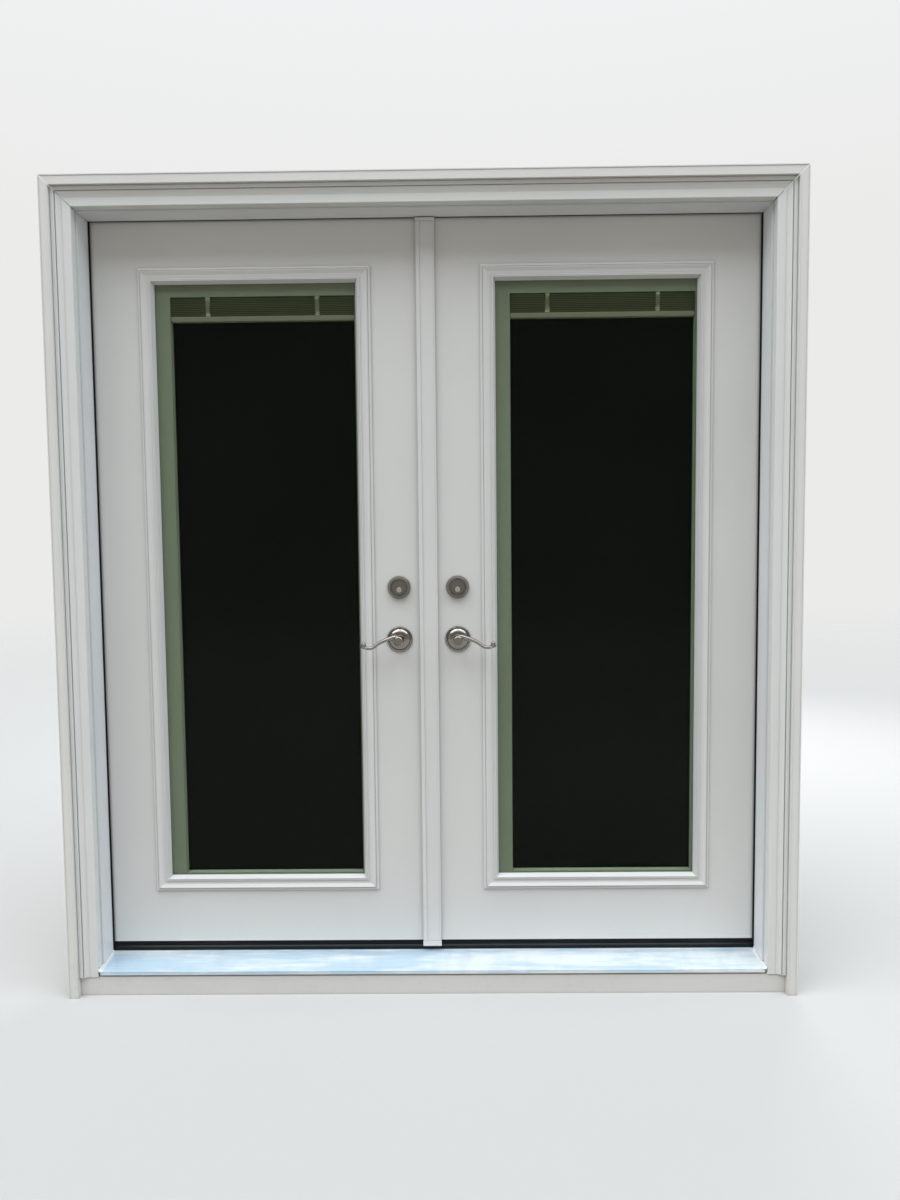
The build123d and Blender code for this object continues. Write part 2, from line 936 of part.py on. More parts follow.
def blind_bottom_rail(side):
    left, right = blind_limits(side)
    with BuildPart() as rail:
        block(
            (left + blind_side_gap, right - blind_side_gap),
            (slab_middle - rail_depth / 2, slab_middle + rail_depth / 2),
            (rail_bottom, slats_bottom),
        )
        fillet(rail.part.edges().filter_by(Axis.X), rail_round)
    return rail.part


def blind_slider(side):
    """The operator that rides up the room side of the track, with a grip rib across it."""
    middle = side * lite_x - sight_width / 2 + track_width / 2
    near = slab_thickness - lite_rebate + slider_gap
    foot = sight_bottom + slider_foot
    rib_half = slider_width / 2 - slider_rib_inset
    rib_z = foot + slider_height / 2
    with BuildPart() as grip:
        block(
            (middle - slider_width / 2, middle + slider_width / 2),
            (near, near + slider_thickness),
            (foot, foot + slider_height),
        )
        fillet(grip.part.edges().filter_by(Axis.Y), slider_corner)
        chamfer(grip.part.faces().sort_by(Axis.Y)[-1].edges(), slider_bevel)
        block(
            (middle - rib_half, middle + rib_half),
            (near + slider_thickness, near + slider_thickness + slider_rib_height),
            (rib_z - slider_rib / 2, rib_z + slider_rib / 2),
        )
    return grip.part


def sweep_strip(side):
    """The sweep under the slab: a base with four soft fins that stop just over the cap."""
    near = slab_middle - sweep_depth / 2
    ends = (side * (slab_edge + sweep_end_gap), side * (slab_hinge_edge - sweep_end_gap))
    with BuildPart() as strip:
        block(ends, (near, near + sweep_depth), (slab_bottom - sweep_base, slab_bottom))
        pitch = (sweep_depth - sweep_fin) / (sweep_fin_count - 1)
        for index in range(sweep_fin_count):
            fin = near + index * pitch
            block(ends, (fin, fin + sweep_fin), (cap_top + sweep_clearance, slab_bottom - sweep_base))
    return strip.part


def rose(side, outward=-1):
    """A rose: a bevelled rim, a groove and a dome that rises to the lever's neck."""
    centre = (side * lock_x, 0, lever_height)
    bore = lever_neck_radius + turning_clearance
    with BuildPart() as disc:
        with BuildSketch(Plane(origin=centre, x_dir=(1, 0, 0), z_dir=(0, 0, outward))):
            with BuildLine():
                Polyline(
                    (bore, rose_height),
                    (bore, 0),
                    (rose_radius, 0),
                    (rose_radius, 2.5),
                    (rose_radius - 2, 5),
                    (rose_rim + 1, 6),
                    (rose_rim, 4.8),
                    (rose_rim - 1, 5.6),
                )
                ThreePointArc((rose_rim - 1, 5.6), (21.5, 9.4), (bore + 2, rose_height))
                Line((bore + 2, rose_height), (bore, rose_height))
            make_face()
        revolve(axis=Axis(centre, (0, 1, 0)))
    return disc.part


def roses(side):
    outer = rose(side)
    inner = mirrored_inside(outer)
    with BuildPart() as pair:
        add([outer, inner])
    return pair.part


def lever_outside(side):
    """The lever: a keyed hub, and a bar that leaves its top, dips in one wave and curls up at the tip.

    The wave's points are (distance from the hub's axis towards the hinges, height over it).
    """
    centre = (side * lock_x, 0, lever_height)
    face = lever_reach - lever_dish
    bar_y = -(lever_reach - lever_bar_depth / 2 - 1.5)
    stations = 12
    with BuildPart() as lever:
        turned(
            centre,
            (
                (0, -2),
                (lever_neck_radius, -2),
                (lever_neck_radius, rose_height + 3),
                (lever_neck_radius - 1.5, rose_height + 8),
                (lever_neck_radius - 1.5, lever_reach - 22),
                (lever_hub_radius, lever_reach - 16),
                (lever_hub_radius, lever_reach - 1.5),
                (lever_hub_radius - 1.5, lever_reach),
                (lever_hub_radius - 3, lever_reach),
                (lever_hub_radius - 3, face),
                (0, face),
            ),
        )
        bar_start = (side * lock_x, bar_y, lever_height)
        with BuildLine(Plane(origin=bar_start, x_dir=(side, 0, 0), z_dir=(0, -side, 0))) as wave:
            Spline(
                (2, 9.5),
                (14, 10.8),
                (30, 5.5),
                (58, -8),
                (76, -18.3),
                (86, -18.5),
                (95, -8.5),
                tangents=[(1, 0.15), (0.1, 1)],
            )
        for index in range(stations + 1):
            share = index / stations
            half_depth = lever_bar_depth / 2 * (1 - lever_depth_taper * share)
            half_height = lever_bar_height / 2 * (1 - lever_height_taper * share)
            with BuildSketch(Plane(origin=wave.line @ share, x_dir=(0, 1, 0), z_dir=wave.line % share)):
                Ellipse(half_depth, half_height)
        loft()
        with Locations(wave.line @ 1):
            Sphere(lever_tip)
        block(
            (side * lock_x - keyway_width / 2, side * lock_x + keyway_width / 2),
            (-face, -face + keyway_depth),
            (lever_height - 4, lever_height + 3),
            Mode.SUBTRACT,
        )
    return lever.part


def lever_with_spindle(side):
    handle = lever_outside(side)
    half = spindle_width / 2
    with BuildPart() as lever:
        add(handle)
        block(
            (side * lock_x - half, side * lock_x + half),
            (2, slab_thickness - 2),
            (lever_height - half, lever_height + half),
        )
    return lever.part


def deadbolt_cylinder(side):
    """The outside cylinder: a bevelled guard ring round a sunk face, bored low down for the plug."""
    centre = (side * lock_x, 0, deadbolt_height)
    sunk = deadbolt_stand - deadbolt_face_depth
    with BuildPart() as cylinder:
        turned(
            centre,
            (
                (0, 0),
                (deadbolt_radius, 0),
                (deadbolt_radius, 4),
                (deadbolt_radius - 1.6, 6),
                (deadbolt_face_radius + 3.5, deadbolt_stand),
                (deadbolt_face_radius + 1, deadbolt_stand),
                (deadbolt_face_radius, deadbolt_stand - 1.5),
                (deadbolt_face_radius - 0.5, sunk),
                (0, sunk),
            ),
        )
        with BuildSketch(Plane.XZ):
            with Locations((side * lock_x, deadbolt_height - plug_drop)):
                Circle(plug_radius + pin_clearance)
        extrude(amount=deadbolt_stand, mode=Mode.SUBTRACT)
    return cylinder.part


def deadbolt_plug(side):
    """The key plug, with its keyway and a tail behind it."""
    centre = (side * lock_x, 0, deadbolt_height - plug_drop)
    face = deadbolt_stand - plug_face_depth
    with BuildPart() as plug:
        turned(
            centre,
            (
                (0, -plug_tail_length),
                (plug_tail_radius, -plug_tail_length),
                (plug_tail_radius, 0),
                (plug_radius, 0),
                (plug_radius, face - 0.8),
                (plug_radius - 0.8, face),
                (0, face),
            ),
        )
        block(
            (centre[0] - plug_keyway_width / 2, centre[0] + plug_keyway_width / 2),
            (-face, -face + plug_keyway_depth),
            (centre[2] - 4.5, centre[2] + 3),
            Mode.SUBTRACT,
        )
    return plug.part


def thumbturn_plate(side):
    centre = (side * lock_x, slab_thickness, deadbolt_height)
    bore = thumbturn_radius + turning_clearance
    with BuildPart() as plate:
        turned(
            centre,
            (
                (bore, 0),
                (deadbolt_radius, 0),
                (deadbolt_radius, 2.5),
                (deadbolt_radius - 3, 5.5),
                (bore + 6, 8),
                (bore, 8),
            ),
            1,
        )
    return plate.part


def thumbturn(side):
    """The thumbturn: an oval wing on a stem, upright while the bolt is drawn back, and a flat tail."""
    centre = (side * lock_x, slab_thickness, deadbolt_height)
    wing_start = (centre[0], slab_thickness + thumbturn_wing_foot, centre[2])
    stem_end = thumbturn_wing_foot + thumbturn_boss
    with BuildPart() as turn:
        turned(
            centre,
            (
                (0, -thumbturn_lap),
                (thumbturn_radius, -thumbturn_lap),
                (thumbturn_radius, stem_end),
                (0, stem_end),
            ),
            1,
        )
        with BuildSketch(Plane(origin=wing_start, x_dir=(0, 0, 1), z_dir=(0, 1, 0))):
            SlotOverall(thumbturn_length, thumbturn_thickness)
        extrude(amount=thumbturn_height - thumbturn_wing_foot, taper=thumbturn_wing_taper)
        block(
            (centre[0] - thumbturn_tail_width / 2, centre[0] + thumbturn_tail_width / 2),
            (slab_middle - thumbturn_tail_reach, slab_thickness - thumbturn_lap),
            (centre[2] - thumbturn_tail_height / 2, centre[2] + thumbturn_tail_height / 2),
        )
    return turn.part


def astragal():
    """The moulding on the right slab's edge, whose flange covers the gap from outside."""
    ridge = flange_front - flange_ridge
    cap_ends = (
        (astragal_foot, astragal_foot + end_cap_height),
        (flange_top - end_cap_top, flange_top),
    )
    section = (
        (slab_edge, slab_thickness),
        (-astragal_face, slab_thickness),
        (-astragal_face, flange_back),
        (-flange_left, flange_back),
        (-flange_left, flange_back - 1.2),
        (-flange_left + 8, ridge),
        (-flange_left + 10, ridge),
        (-flange_left + 10.6, flange_front),
        (flange_right - 3.6, flange_front),
        (flange_right - 2.8, flange_front - 1.3),
        (flange_right - 0.6, flange_front - 1.3),
        (flange_right, flange_front),
        (flange_right, 0),
        (slab_edge, 0),
    )
    with BuildPart() as moulding:
        with BuildSketch(Plane.XY.offset(astragal_foot)):
            with BuildLine():
                Polyline(*section, close=True)
            make_face()
        extrude(amount=flange_top - astragal_foot)
        block((-astragal_face, slab_edge), (0, slab_thickness), (flange_top, slab_top))
        for low, high in cap_ends:
            block(
                (-flange_left - end_cap_proud, flange_right + end_cap_proud),
                (ridge - end_cap_proud, flange_back),
                (low, high),
            )
        for height in (lever_height, deadbolt_height):
            strike_form(height, Mode.SUBTRACT)
        block(
            (-astragal_face, -slab_edge + latch_throw + pocket_clearance),
            (slab_middle - latch_pocket_y, slab_middle + latch_pocket_y),
            (lever_height - latch_pocket_z, lever_height + latch_pocket_z),
            Mode.SUBTRACT,
        )
        block(
            (-astragal_face, slab_edge),
            (slab_middle - bolt_pocket_y, slab_middle + bolt_pocket_y),
            (deadbolt_height - bolt_pocket_z, deadbolt_height + bolt_pocket_z),
            Mode.SUBTRACT,
        )
        for foot, way in ((astragal_foot, 1), (slab_top, -1)):
            flush_bolt_room(foot, way)
    return moulding.part


def flush_bolt_room(end, way):
    """The bore and slot of a flush bolt; way points from the astragal's end into it."""
    length = rod_recess + rod_length + rod_end_room
    with Locations((rod_offset, rod_depth, end + way * length / 2)):
        Cylinder(rod_radius + rod_clearance, length, mode=Mode.SUBTRACT)
    slot = rod_button_width / 2 + bolt_clearance
    button = end + way * (rod_recess + rod_length - rod_button_length)
    block(
        (-astragal_face, rod_offset),
        (rod_depth - slot, rod_depth + slot),
        (
            button - way * (rod_travel + rod_side_room),
            button + way * (rod_button_length + rod_side_room),
        ),
        Mode.SUBTRACT,
    )


def flush_bolt(end, way):
    """A flush bolt, drawn back into the astragal, with the button that slides it."""
    low = end + way * rod_recess
    high = low + way * rod_length
    with BuildPart() as bolt:
        with Locations((rod_offset, rod_depth, (low + high) / 2)):
            Cylinder(rod_radius, rod_length)
        block(
            (-astragal_face + rod_button_setback, rod_offset),
            (rod_depth - rod_button_width / 2, rod_depth + rod_button_width / 2),
            (high - way * rod_button_length, high),
        )
    return bolt.part


def strike_form(height, mode=Mode.ADD):
    """The outline of a strike plate, let into the astragal's meeting face."""
    block(
        (-astragal_face, -astragal_face + strike_thickness),
        (slab_middle - strike_half_width, slab_middle + strike_half_width),
        (height - plate_height / 2, height + plate_height / 2),
        mode,
    )


def strike_plates():
    pockets = (
        (lever_height, latch_pocket_y, latch_pocket_z),
        (deadbolt_height, bolt_pocket_y, bolt_pocket_z),
    )
    with BuildPart() as plates:
        for height, half_y, half_z in pockets:
            strike_form(height)
            block(
                (-astragal_face, -astragal_face + strike_thickness),
                (slab_middle - half_y, slab_middle + half_y),
                (height - half_z, height + half_z),
                Mode.SUBTRACT,
            )
    return plates.part


def astragal_seal():
    """The strip in the flange's corner, clear of the left slab as the leaves swing."""
    with BuildPart() as strip:
        block(
            (-astragal_face - astragal_seal_width, -astragal_face),
            (flange_back, flange_back + astragal_seal_height),
            (astragal_foot + end_cap_height, flange_top - end_cap_top),
        )
    return strip.part


save(side_jamb(-1), "jamb_left")
save(side_jamb(1), "jamb_right")
save(head_jamb(), "jamb_head")
save(casing_leg(-1), "casing_left")
save(casing_leg(1), "casing_right")
save(casing_head(), "casing_head")
save(edge_channels(), "edge_channels")
save(sill_deck(), "sill_deck")
save(sill_core(), "sill_core")
save(threshold_cap(), "threshold_cap")
save(kick_board(), "kick_board")
save(frame_seals(), "frame_seals")
save(hinge_frame_leaves(), "hinge_frame_leaves")
save(hinge_pins(), "hinge_pins")
save(bolt_strikes(), "bolt_strikes")

for hand, side in (("left", -1), ("right", 1)):
    ring = lite_outside(side)
    handle = lever_outside(side)
    save(slab(side), f"{hand}_slab")
    save(ring, f"{hand}_lite_outside")
    save(mirrored_inside(ring), f"{hand}_lite_inside")
    save(pane(side, lite_rebate), f"{hand}_glass_outside")
    save(pane(side, slab_thickness - lite_rebate - pane_thickness), f"{hand}_glass_inside")
    save(spacer(side), f"{hand}_spacer")
    save(blind_slats(side), f"{hand}_blind_slats")
    save(blind_bottom_rail(side), f"{hand}_blind_bottom_rail")
    save(blind_slider(side), f"{hand}_blind_slider")
    save(sweep_strip(side), f"{hand}_sweep")
    save(hinge_half(side, False), f"{hand}_hinge_leaves")
    save(roses(side), f"{hand}_roses")
    save(lever_with_spindle(side), f"{hand}_lever_outside")
    save(mirrored_inside(handle), f"{hand}_lever_inside")
    save(deadbolt_cylinder(side), f"{hand}_deadbolt_cylinder")
    save(deadbolt_plug(side), f"{hand}_deadbolt_plug")
    save(thumbturn_plate(side), f"{hand}_thumbturn_plate")
    save(thumbturn(side), f"{hand}_thumbturn")

save(latch_bolt(), "latch_bolt")
save(edge_plates(), "edge_plates")
save(deadbolt_bolt(), "deadbolt_bolt")
save(astragal(), "astragal")
save(astragal_seal(), "astragal_seal")
save(strike_plates(), "strike_plates")
save(flush_bolt(slab_top, -1), "flush_bolt_top")
save(flush_bolt(astragal_foot, 1), "flush_bolt_bottom")
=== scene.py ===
"""Looks of the french doors: camera, light, surfaces and the finer pieces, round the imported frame.

Metres, in the frame's own axes: X to the right seen from outside, Y into the room, Z up. side is -1 for the
left leaf and 1 for the right one.
"""

import json
import math
import random

import bmesh
import bpy
from mathutils import Matrix, Vector


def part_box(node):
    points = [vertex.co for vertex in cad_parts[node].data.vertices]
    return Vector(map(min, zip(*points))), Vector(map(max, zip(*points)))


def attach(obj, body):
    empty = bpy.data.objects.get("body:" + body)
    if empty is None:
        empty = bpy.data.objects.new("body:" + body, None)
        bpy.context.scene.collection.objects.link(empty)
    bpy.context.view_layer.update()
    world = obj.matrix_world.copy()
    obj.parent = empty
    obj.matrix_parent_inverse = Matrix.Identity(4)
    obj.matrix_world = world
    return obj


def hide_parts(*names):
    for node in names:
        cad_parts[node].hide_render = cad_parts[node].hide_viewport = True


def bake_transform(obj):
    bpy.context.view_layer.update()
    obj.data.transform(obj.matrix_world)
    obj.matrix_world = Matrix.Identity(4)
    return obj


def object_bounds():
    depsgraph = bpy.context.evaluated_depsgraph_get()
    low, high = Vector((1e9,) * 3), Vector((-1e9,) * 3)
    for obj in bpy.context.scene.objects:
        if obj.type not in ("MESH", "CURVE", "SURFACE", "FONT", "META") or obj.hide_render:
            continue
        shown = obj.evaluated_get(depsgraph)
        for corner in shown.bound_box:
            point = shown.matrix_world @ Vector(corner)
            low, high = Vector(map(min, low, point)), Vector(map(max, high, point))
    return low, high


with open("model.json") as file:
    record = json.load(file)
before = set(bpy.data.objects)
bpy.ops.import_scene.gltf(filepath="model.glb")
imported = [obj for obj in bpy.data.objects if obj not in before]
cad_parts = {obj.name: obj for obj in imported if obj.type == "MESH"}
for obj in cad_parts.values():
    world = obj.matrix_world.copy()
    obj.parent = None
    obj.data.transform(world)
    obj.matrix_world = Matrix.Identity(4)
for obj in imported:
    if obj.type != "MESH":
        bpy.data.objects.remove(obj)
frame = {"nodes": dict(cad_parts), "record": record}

cad_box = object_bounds()

HANDS = {"left": -1, "right": 1}

# Camera, as fitted to the photograph
CAMERA_PLACE = (0.0845, -2.3935, 1.1778)
CAMERA_YAW = 0.5961
CAMERA_PITCH = -3.7034
CAMERA_ROLL = 0.5595
CAMERA_LENS = 26.0
CAMERA_SENSOR = 36.0

# Light: three broad, high suns shade what lies under the head, and the world fills the shade.
# Each sun has a name, a strength, a swing to the right, an elevation and a colour.
SUN_SPREAD = 48.0
SUNS = (
    ("left_sun", 1.70, -59.0, 55.0, (0.97, 1.0, 1.0)),
    ("middle_sun", 0.95, -8.0, 66.0, (0.96, 1.0, 1.02)),
    ("right_sun", 1.52, 59.0, 55.0, (0.93, 1.0, 1.05)),
)
BACK_PLACE = (1.8, 3.6, 3.0)
BACK_TARGET = (0.0, 0.0, 1.0)
BACK_POWER = 75.0
BACK_SIZE = 2.4

# World: the colours that it lights with, and the colours that it shows
FRONT_LIGHT = (0.305, 0.285, 0.24)
SIDE_LIGHT = (0.95, 1.0, 1.05)
BACK_LIGHT = (0.45, 0.45, 0.45)
TOP_LIGHT = (0.24, 0.25, 0.27)
FRONT_LOW_SEEN = (0.40, 0.395, 0.375)
FRONT_SEEN = (0.30, 0.30, 0.295)
BACK_SEEN = (0.83, 0.83, 0.82)
TOP_SEEN = (0.93, 0.95, 0.98)

# Where the direction turns from front to back, from level to top, from low to high and from ahead to beside
INWARD_RANGE = (-0.9, 0.2)
UPWARD_RANGE = (0.3, 0.85)
ABOVE_RANGE = (0.02, 0.22)
BESIDE_RANGE = (0.55, 0.95)

# Floor: pale where it is seen, darker and warmer for the light that it throws back
FLOOR_REACH = 60.0
FLOOR_FADE_START = 3.0
FLOOR_FADE_END = 16.0
FLOOR_SEEN = (0.52, 0.515, 0.505)
FLOOR_BOUNCE = (0.265, 0.235, 0.20)
FLOOR_ROUGHNESS = 0.9
FLOOR_SPECULAR = 0.2

# Sockets of a colour mix node
MIX_FACTOR = 0
MIX_FIRST = 6
MIX_SECOND = 7
MIX_RESULT = 2

# Noise: its usual roughness, and the middle of its range. Values that end in NOISE are a scale, a detail
# and, where it isn't the usual one, a roughness. Those that end in GRAIN are a stretch along the three
# axes, a detail and a roughness.
USUAL_NOISE_ROUGHNESS = 0.55
NOISE_MIDDLE = (0.3, 0.7)

# Painted shade in grooves and corners, from an ambient occlusion node
GROOVE_SHADE_REACH = 0.007
GROOVE_SHADE_SHARE = 0.65
GROOVE_SHADE_SAMPLES = 6
GROOVE_SHADE_RANGE = (0.35, 0.95)

# Paints: colour, roughness, size and height of the orange peel, dust at the floor, specular level, share of
# painted shade in grooves
PAINTS = {
    "slab_paint": ((0.695, 0.70, 0.70), 0.42, 0.0011, 0.00006, 0.125, 0.4, GROOVE_SHADE_SHARE),
    "frame_paint": ((0.745, 0.765, 0.78), 0.36, 0.0009, 0.00005, 0.125, 0.4, GROOVE_SHADE_SHARE),
    "casing_white": ((0.745, 0.76, 0.76), 0.36, 0.0007, 0.00004, 0.2, 0.4, GROOVE_SHADE_SHARE),
    "kick_paint": ((0.715, 0.71, 0.705), 0.46, 0.0007, 0.00004, 0.175, 0.4, GROOVE_SHADE_SHARE),
    "channel_white": ((0.76, 0.76, 0.75), 0.34, 0.0012, 0.00005, 0.2, 0.4, GROOVE_SHADE_SHARE),
    "sealant": ((0.76, 0.775, 0.785), 0.3, 0.004, 0.0002, 0.125, 0.5, GROOVE_SHADE_SHARE),
    "lite_white": ((0.70, 0.705, 0.71), 0.33, 0.0006, 0.00003, 0.125, 0.4, GROOVE_SHADE_SHARE),
    "spacer_sage": ((0.335, 0.41, 0.28), 0.5, 0.0008, 0.00003, 0.125, 0.4, GROOVE_SHADE_SHARE),
    "slat_sage": ((0.44, 0.50, 0.32), 0.45, 0.0008, 0.00003, 0.125, 0.4, 0.0),
    "slat_shadow": ((0.10, 0.12, 0.07), 0.5, 0.0008, 0.00003, 0.125, 0.4, 0.0),
    "rail_sage": ((0.34, 0.38, 0.24), 0.5, 0.0008, 0.00003, 0.125, 0.4, GROOVE_SHADE_SHARE),
    "slider_white": ((0.70, 0.70, 0.69), 0.35, 0.0006, 0.00003, 0.125, 0.4, GROOVE_SHADE_SHARE),
    "cord_pale": ((0.52, 0.57, 0.42), 0.8, 0.0005, 0.0001, 0.125, 0.4, 0.0),
}
CLOUD_NOISE = (2.2, 4)
CLOUD_TONES = (0.965, 1.02)
DUST_HEIGHTS = (0.25, -0.05)
DUST_NOISE = (38, 6, 0.7)
DUST_RANGE = (0.55, 0.75)
DUST_COLOUR = (0.42, 0.37, 0.30)
# How dark the painted shade in the grooves of paint is
PAINT_GROOVE_SHADE_TONE = 0.5
PAINT_GLOSS_NOISE = (7, 3)
PAINT_GLOSS_SPREAD = (-0.05, 0.06)
PEEL_DETAIL = 2
PEEL_STRENGTH = 0.35

# Metals: colour, roughness, stretch of the grain along the three axes, its height, anisotropy
METALS = {
    "nickel": ((0.27, 0.245, 0.22), 0.12, (900, 60, 900), 0.00001, 0.15),
    "plug_nickel": ((0.58, 0.56, 0.52), 0.3, (900, 60, 900), 0.00001, 0.0),
    "steel": ((0.50, 0.50, 0.49), 0.28, (60, 60, 900), 0.00003, 0.0),
}
METAL_GRAIN_DETAIL = 3
METAL_GRAIN_ROUGHNESS = 0.6
METAL_TONES = (0.93, 1.05)
METAL_GLOSS_SPREAD = (-0.04, 0.05)
METAL_GRAIN_STRENGTH = 0.3
# How dark the painted shade in the grooves of metal is
METAL_GROOVE_SHADE_TONE = 0.2
MARK_NOISE = (90, 5, 0.65)
MARK_RANGE = (0.45, 0.8)
MARK_SHARE = 0.25
MARK_TONE = 0.72

# Black vinyl and rubber: colour, roughness, colour of the dust
POLYMERS = {
    "cap_dark": ((0.006, 0.009, 0.010), 0.34, (0.05, 0.06, 0.06)),
    "seal_black": ((0.006, 0.006, 0.007), 0.6, (0.06, 0.06, 0.058)),
}
STREAK_GRAIN = ((6, 60, 60), 5, 0.65)
STREAK_RANGE = (0.5, 0.85)
STREAK_SHARE = 0.3
POLYMER_NOISE = (900, 2)
POLYMER_BUMP = (0.4, 0.0001)
POLYMER_SPECULAR = 0.16

# Panes: colour, how much a pane hides, specular level. The inner pane's near-black colour and high alpha
# are painted shade, for the dark room behind it.
PANES = {
    "glass_green": ((0.005, 0.010, 0.004), 0.10, 0.16),
    # The inner pane: painted shade, near black and nearly opaque
    "glass_dark": ((0.0010, 0.0016, 0.0009), 0.95, 0.08),
}
FILM_NOISE = (3.5, 5, 0.6)
FILM_RANGE = (0.45, 0.75)
FILM_SHARE = 0.02
SMEAR_NOISE = (9, 4)
SMEAR_RANGE = (0.4, 0.8)
SMEAR_ROUGHNESS = (0.01, 0.04)
PANE_NOISE = (1.3, 2)
PANE_TONES = (0.8, 1.2)
GLASS_IOR = 1.5

# Bare board under the sill
BOARD_COLOUR = (0.40, 0.33, 0.25)
BOARD_GRAIN = ((4, 120, 120), 6, 0.7)
BOARD_TONES = (0.75, 1.15)
BOARD_ROUGHNESS = 0.8
BOARD_BUMP = (0.5, 0.0003)

# Coated aluminium of the sill; its bluish tone and its pale streaks are painted reflection
DRAWN_GRAIN = ((3, 420, 420), 4, 0.6)
DRAWN_DARK = (0.50, 0.66, 0.80)
DRAWN_PALE = (0.60, 0.75, 0.87)
DRAWN_BUMP = (0.25, 0.00015)
REFLECTION_STREAK_GRAIN = ((3.2, 22, 22), 5, 0.6)
REFLECTION_STREAK_RANGE = (0.44, 0.58)
REFLECTION_STREAK_COLOUR = (0.80, 0.87, 0.91)
RAIN_GRAIN = ((16, 5, 5), 4, 0.6)
RAIN_RANGE = (0.5, 0.75)
RAIN_SHARE = 0.45
RAIN_COLOUR = (0.50, 0.61, 0.71)
SILL_METALLIC = 0.35
SILL_GLOSS = (0.30, 0.46)

# Blinds: in each STACK_LINE_SPACING of the drawn-up stack, STACK_LINE_SHARE of it has undersides painted
# dark as shade
SLAT_COUNT = 104
SLAT_TILT_SHARE = 0.7
SLAT_THICKNESS_SHARE = 0.06
SLAT_DEPTH = 0.0150
STACK_LINE_SPACING = 0.0048
STACK_LINE_SHARE = 0.32
LADDER_SEEDS = {"left": 11, "right": 12}
LADDER_WIDTH = 0.0115
LADDER_CLEARANCE = 0.0006
LADDER_BULGE = 0.0010
LADDER_LEAST_BULGE = 0.3
LADDER_WANDER = 0.0018
LADDER_ROWS_A_FOLD = 12
LADDER_THICKNESS = 0.0003
LADDER_INSET = 0.1005

# Hinges and the gap over the leaves; each hinge screw has a place up from the middle and into the room
HINGE_HEIGHT = 0.1016
HINGE_GAP = 0.003
HEAD_GAP = 0.003
HINGE_SCREWS = ((0.038, 0.031), (0.0135, 0.018), (-0.0135, 0.018), (-0.038, 0.031))

# Screws: radii, places, and the shares of the radius that the head's flat and its cross take
HINGE_SCREW_RADIUS = 0.0046
SMALL_SCREW_RADIUS = 0.0036
SCREW_SPACING = 0.0235
SCREW_PROUD = 0.00025
SCREW_RECESS = 0.0011
SCREW_POINTS = 24
SCREW_FLAT_SHARE = 0.86
CROSS_ARM_SHARE = 0.58
CROSS_HALF_SHARE = 0.15
CROSS_FLOOR_SHARE = 0.8
STRIKE_SCREW_REACH = 0.0145
TURN_SCREW_REACH = 0.022
TURN_SCREW_RISE = 0.0065

# Round caps: the outline has shares of the radius and of the height
CAP_POINTS = 20
CAP_OUTLINE = ((1, -1), (1, 0.5), (0.93, 0.86), (0.8, 1))
PLUG_RADIUS = 0.0052
PLUG_PROUD = 0.0009
PLUG_INSET = 0.024
PLUG_RISE = 0.0053
PLUG_SPACING = 0.215
NAIL_RADIUS = 0.0034
NAIL_PROUD = 0.0004
NAIL_PLACES = ((-0.857, -0.024), (-0.471, -0.016), (-0.036, -0.021), (0.412, -0.018), (0.868, -0.020))

# Sealant at the feet of the jambs, and the corners that it follows
BEAD_SEED = 5
BEAD_WIDTH = 0.0075
BEAD_HEIGHT = 0.0062
BEAD_SPACING = 0.006
BEAD_UNEVEN = 0.0006
BEAD_BITE = 0.0002
BEAD_SINK = 0.001
BEAD_TOP_WIDTH = 0.0016
BEAD_TOP_FALL = 0.0004
BEAD_HOLLOW_REACH = 0.45
BEAD_HOLLOW_HEIGHT = 0.42
BEAD_TOE_HEIGHT = 0.0006
BEAD_TOE_SPLAY = 0.0004
BEAD_CORNER_STEP = 0.002
BEAD_OVERRUN = 0.001
STOP_X = 0.908
STOP_Y = -0.006
JAMB_FRONT = -0.0715
CASING_X = 0.913
DECK_FRONT_HEIGHT = 0.016


def make_camera():
    camera = bpy.data.objects.new("camera", bpy.data.cameras.new("camera"))
    camera.data.lens = CAMERA_LENS
    camera.data.sensor_width = CAMERA_SENSOR
    turn = (
        Matrix.Rotation(math.radians(CAMERA_YAW), 4, "Z")
        @ Matrix.Rotation(math.radians(CAMERA_PITCH), 4, "X")
        @ Matrix.Rotation(math.radians(CAMERA_ROLL), 4, "Y")
        @ Matrix.Rotation(math.radians(90), 4, "X")
    )
    camera.matrix_world = Matrix.Translation(CAMERA_PLACE) @ turn
    bpy.context.scene.collection.objects.link(camera)
    bpy.context.scene.camera = camera


def hang_light(name, light, place, target):
    holder = bpy.data.objects.new(name, light)
    holder.location = place
    holder.rotation_euler = (Vector(target) - Vector(place)).to_track_quat("-Z", "Y").to_euler()
    bpy.context.scene.collection.objects.link(holder)
    return holder


def make_lights():
    for name, strength, swing, elevation, colour in SUNS:
        sun = bpy.data.lights.new(name, "SUN")
        sun.energy = strength
        sun.angle = math.radians(SUN_SPREAD)
        sun.color = colour
        aside = math.radians(swing)
        rise = math.radians(elevation)
        towards = (math.cos(rise) * math.sin(aside), -math.cos(rise) * math.cos(aside), math.sin(rise))
        hang_light(name, sun, towards, (0, 0, 0))
    back = bpy.data.lights.new("back", "AREA")
    back.energy = BACK_POWER
    back.size = BACK_SIZE
    hang_light("back", back, BACK_PLACE, BACK_TARGET).visible_glossy = False


def put(tree, node, values):
    """Sets a node's inputs: each value is a plain one or the output socket to link."""
    for name, value in values.items():
        if isinstance(value, bpy.types.NodeSocket):
            tree.links.new(value, node.inputs[name])
        else:
            node.inputs[name].default_value = value
    return node


def add_node(tree, kind, values=None, **settings):
    node = tree.nodes.new(kind)
    for name, value in settings.items():
        setattr(node, name, value)
    return put(tree, node, values or {})


def larger(tree, first, second):
    return add_node(tree, "ShaderNodeMath", {0: first, 1: second}, operation="MAXIMUM").outputs[0]


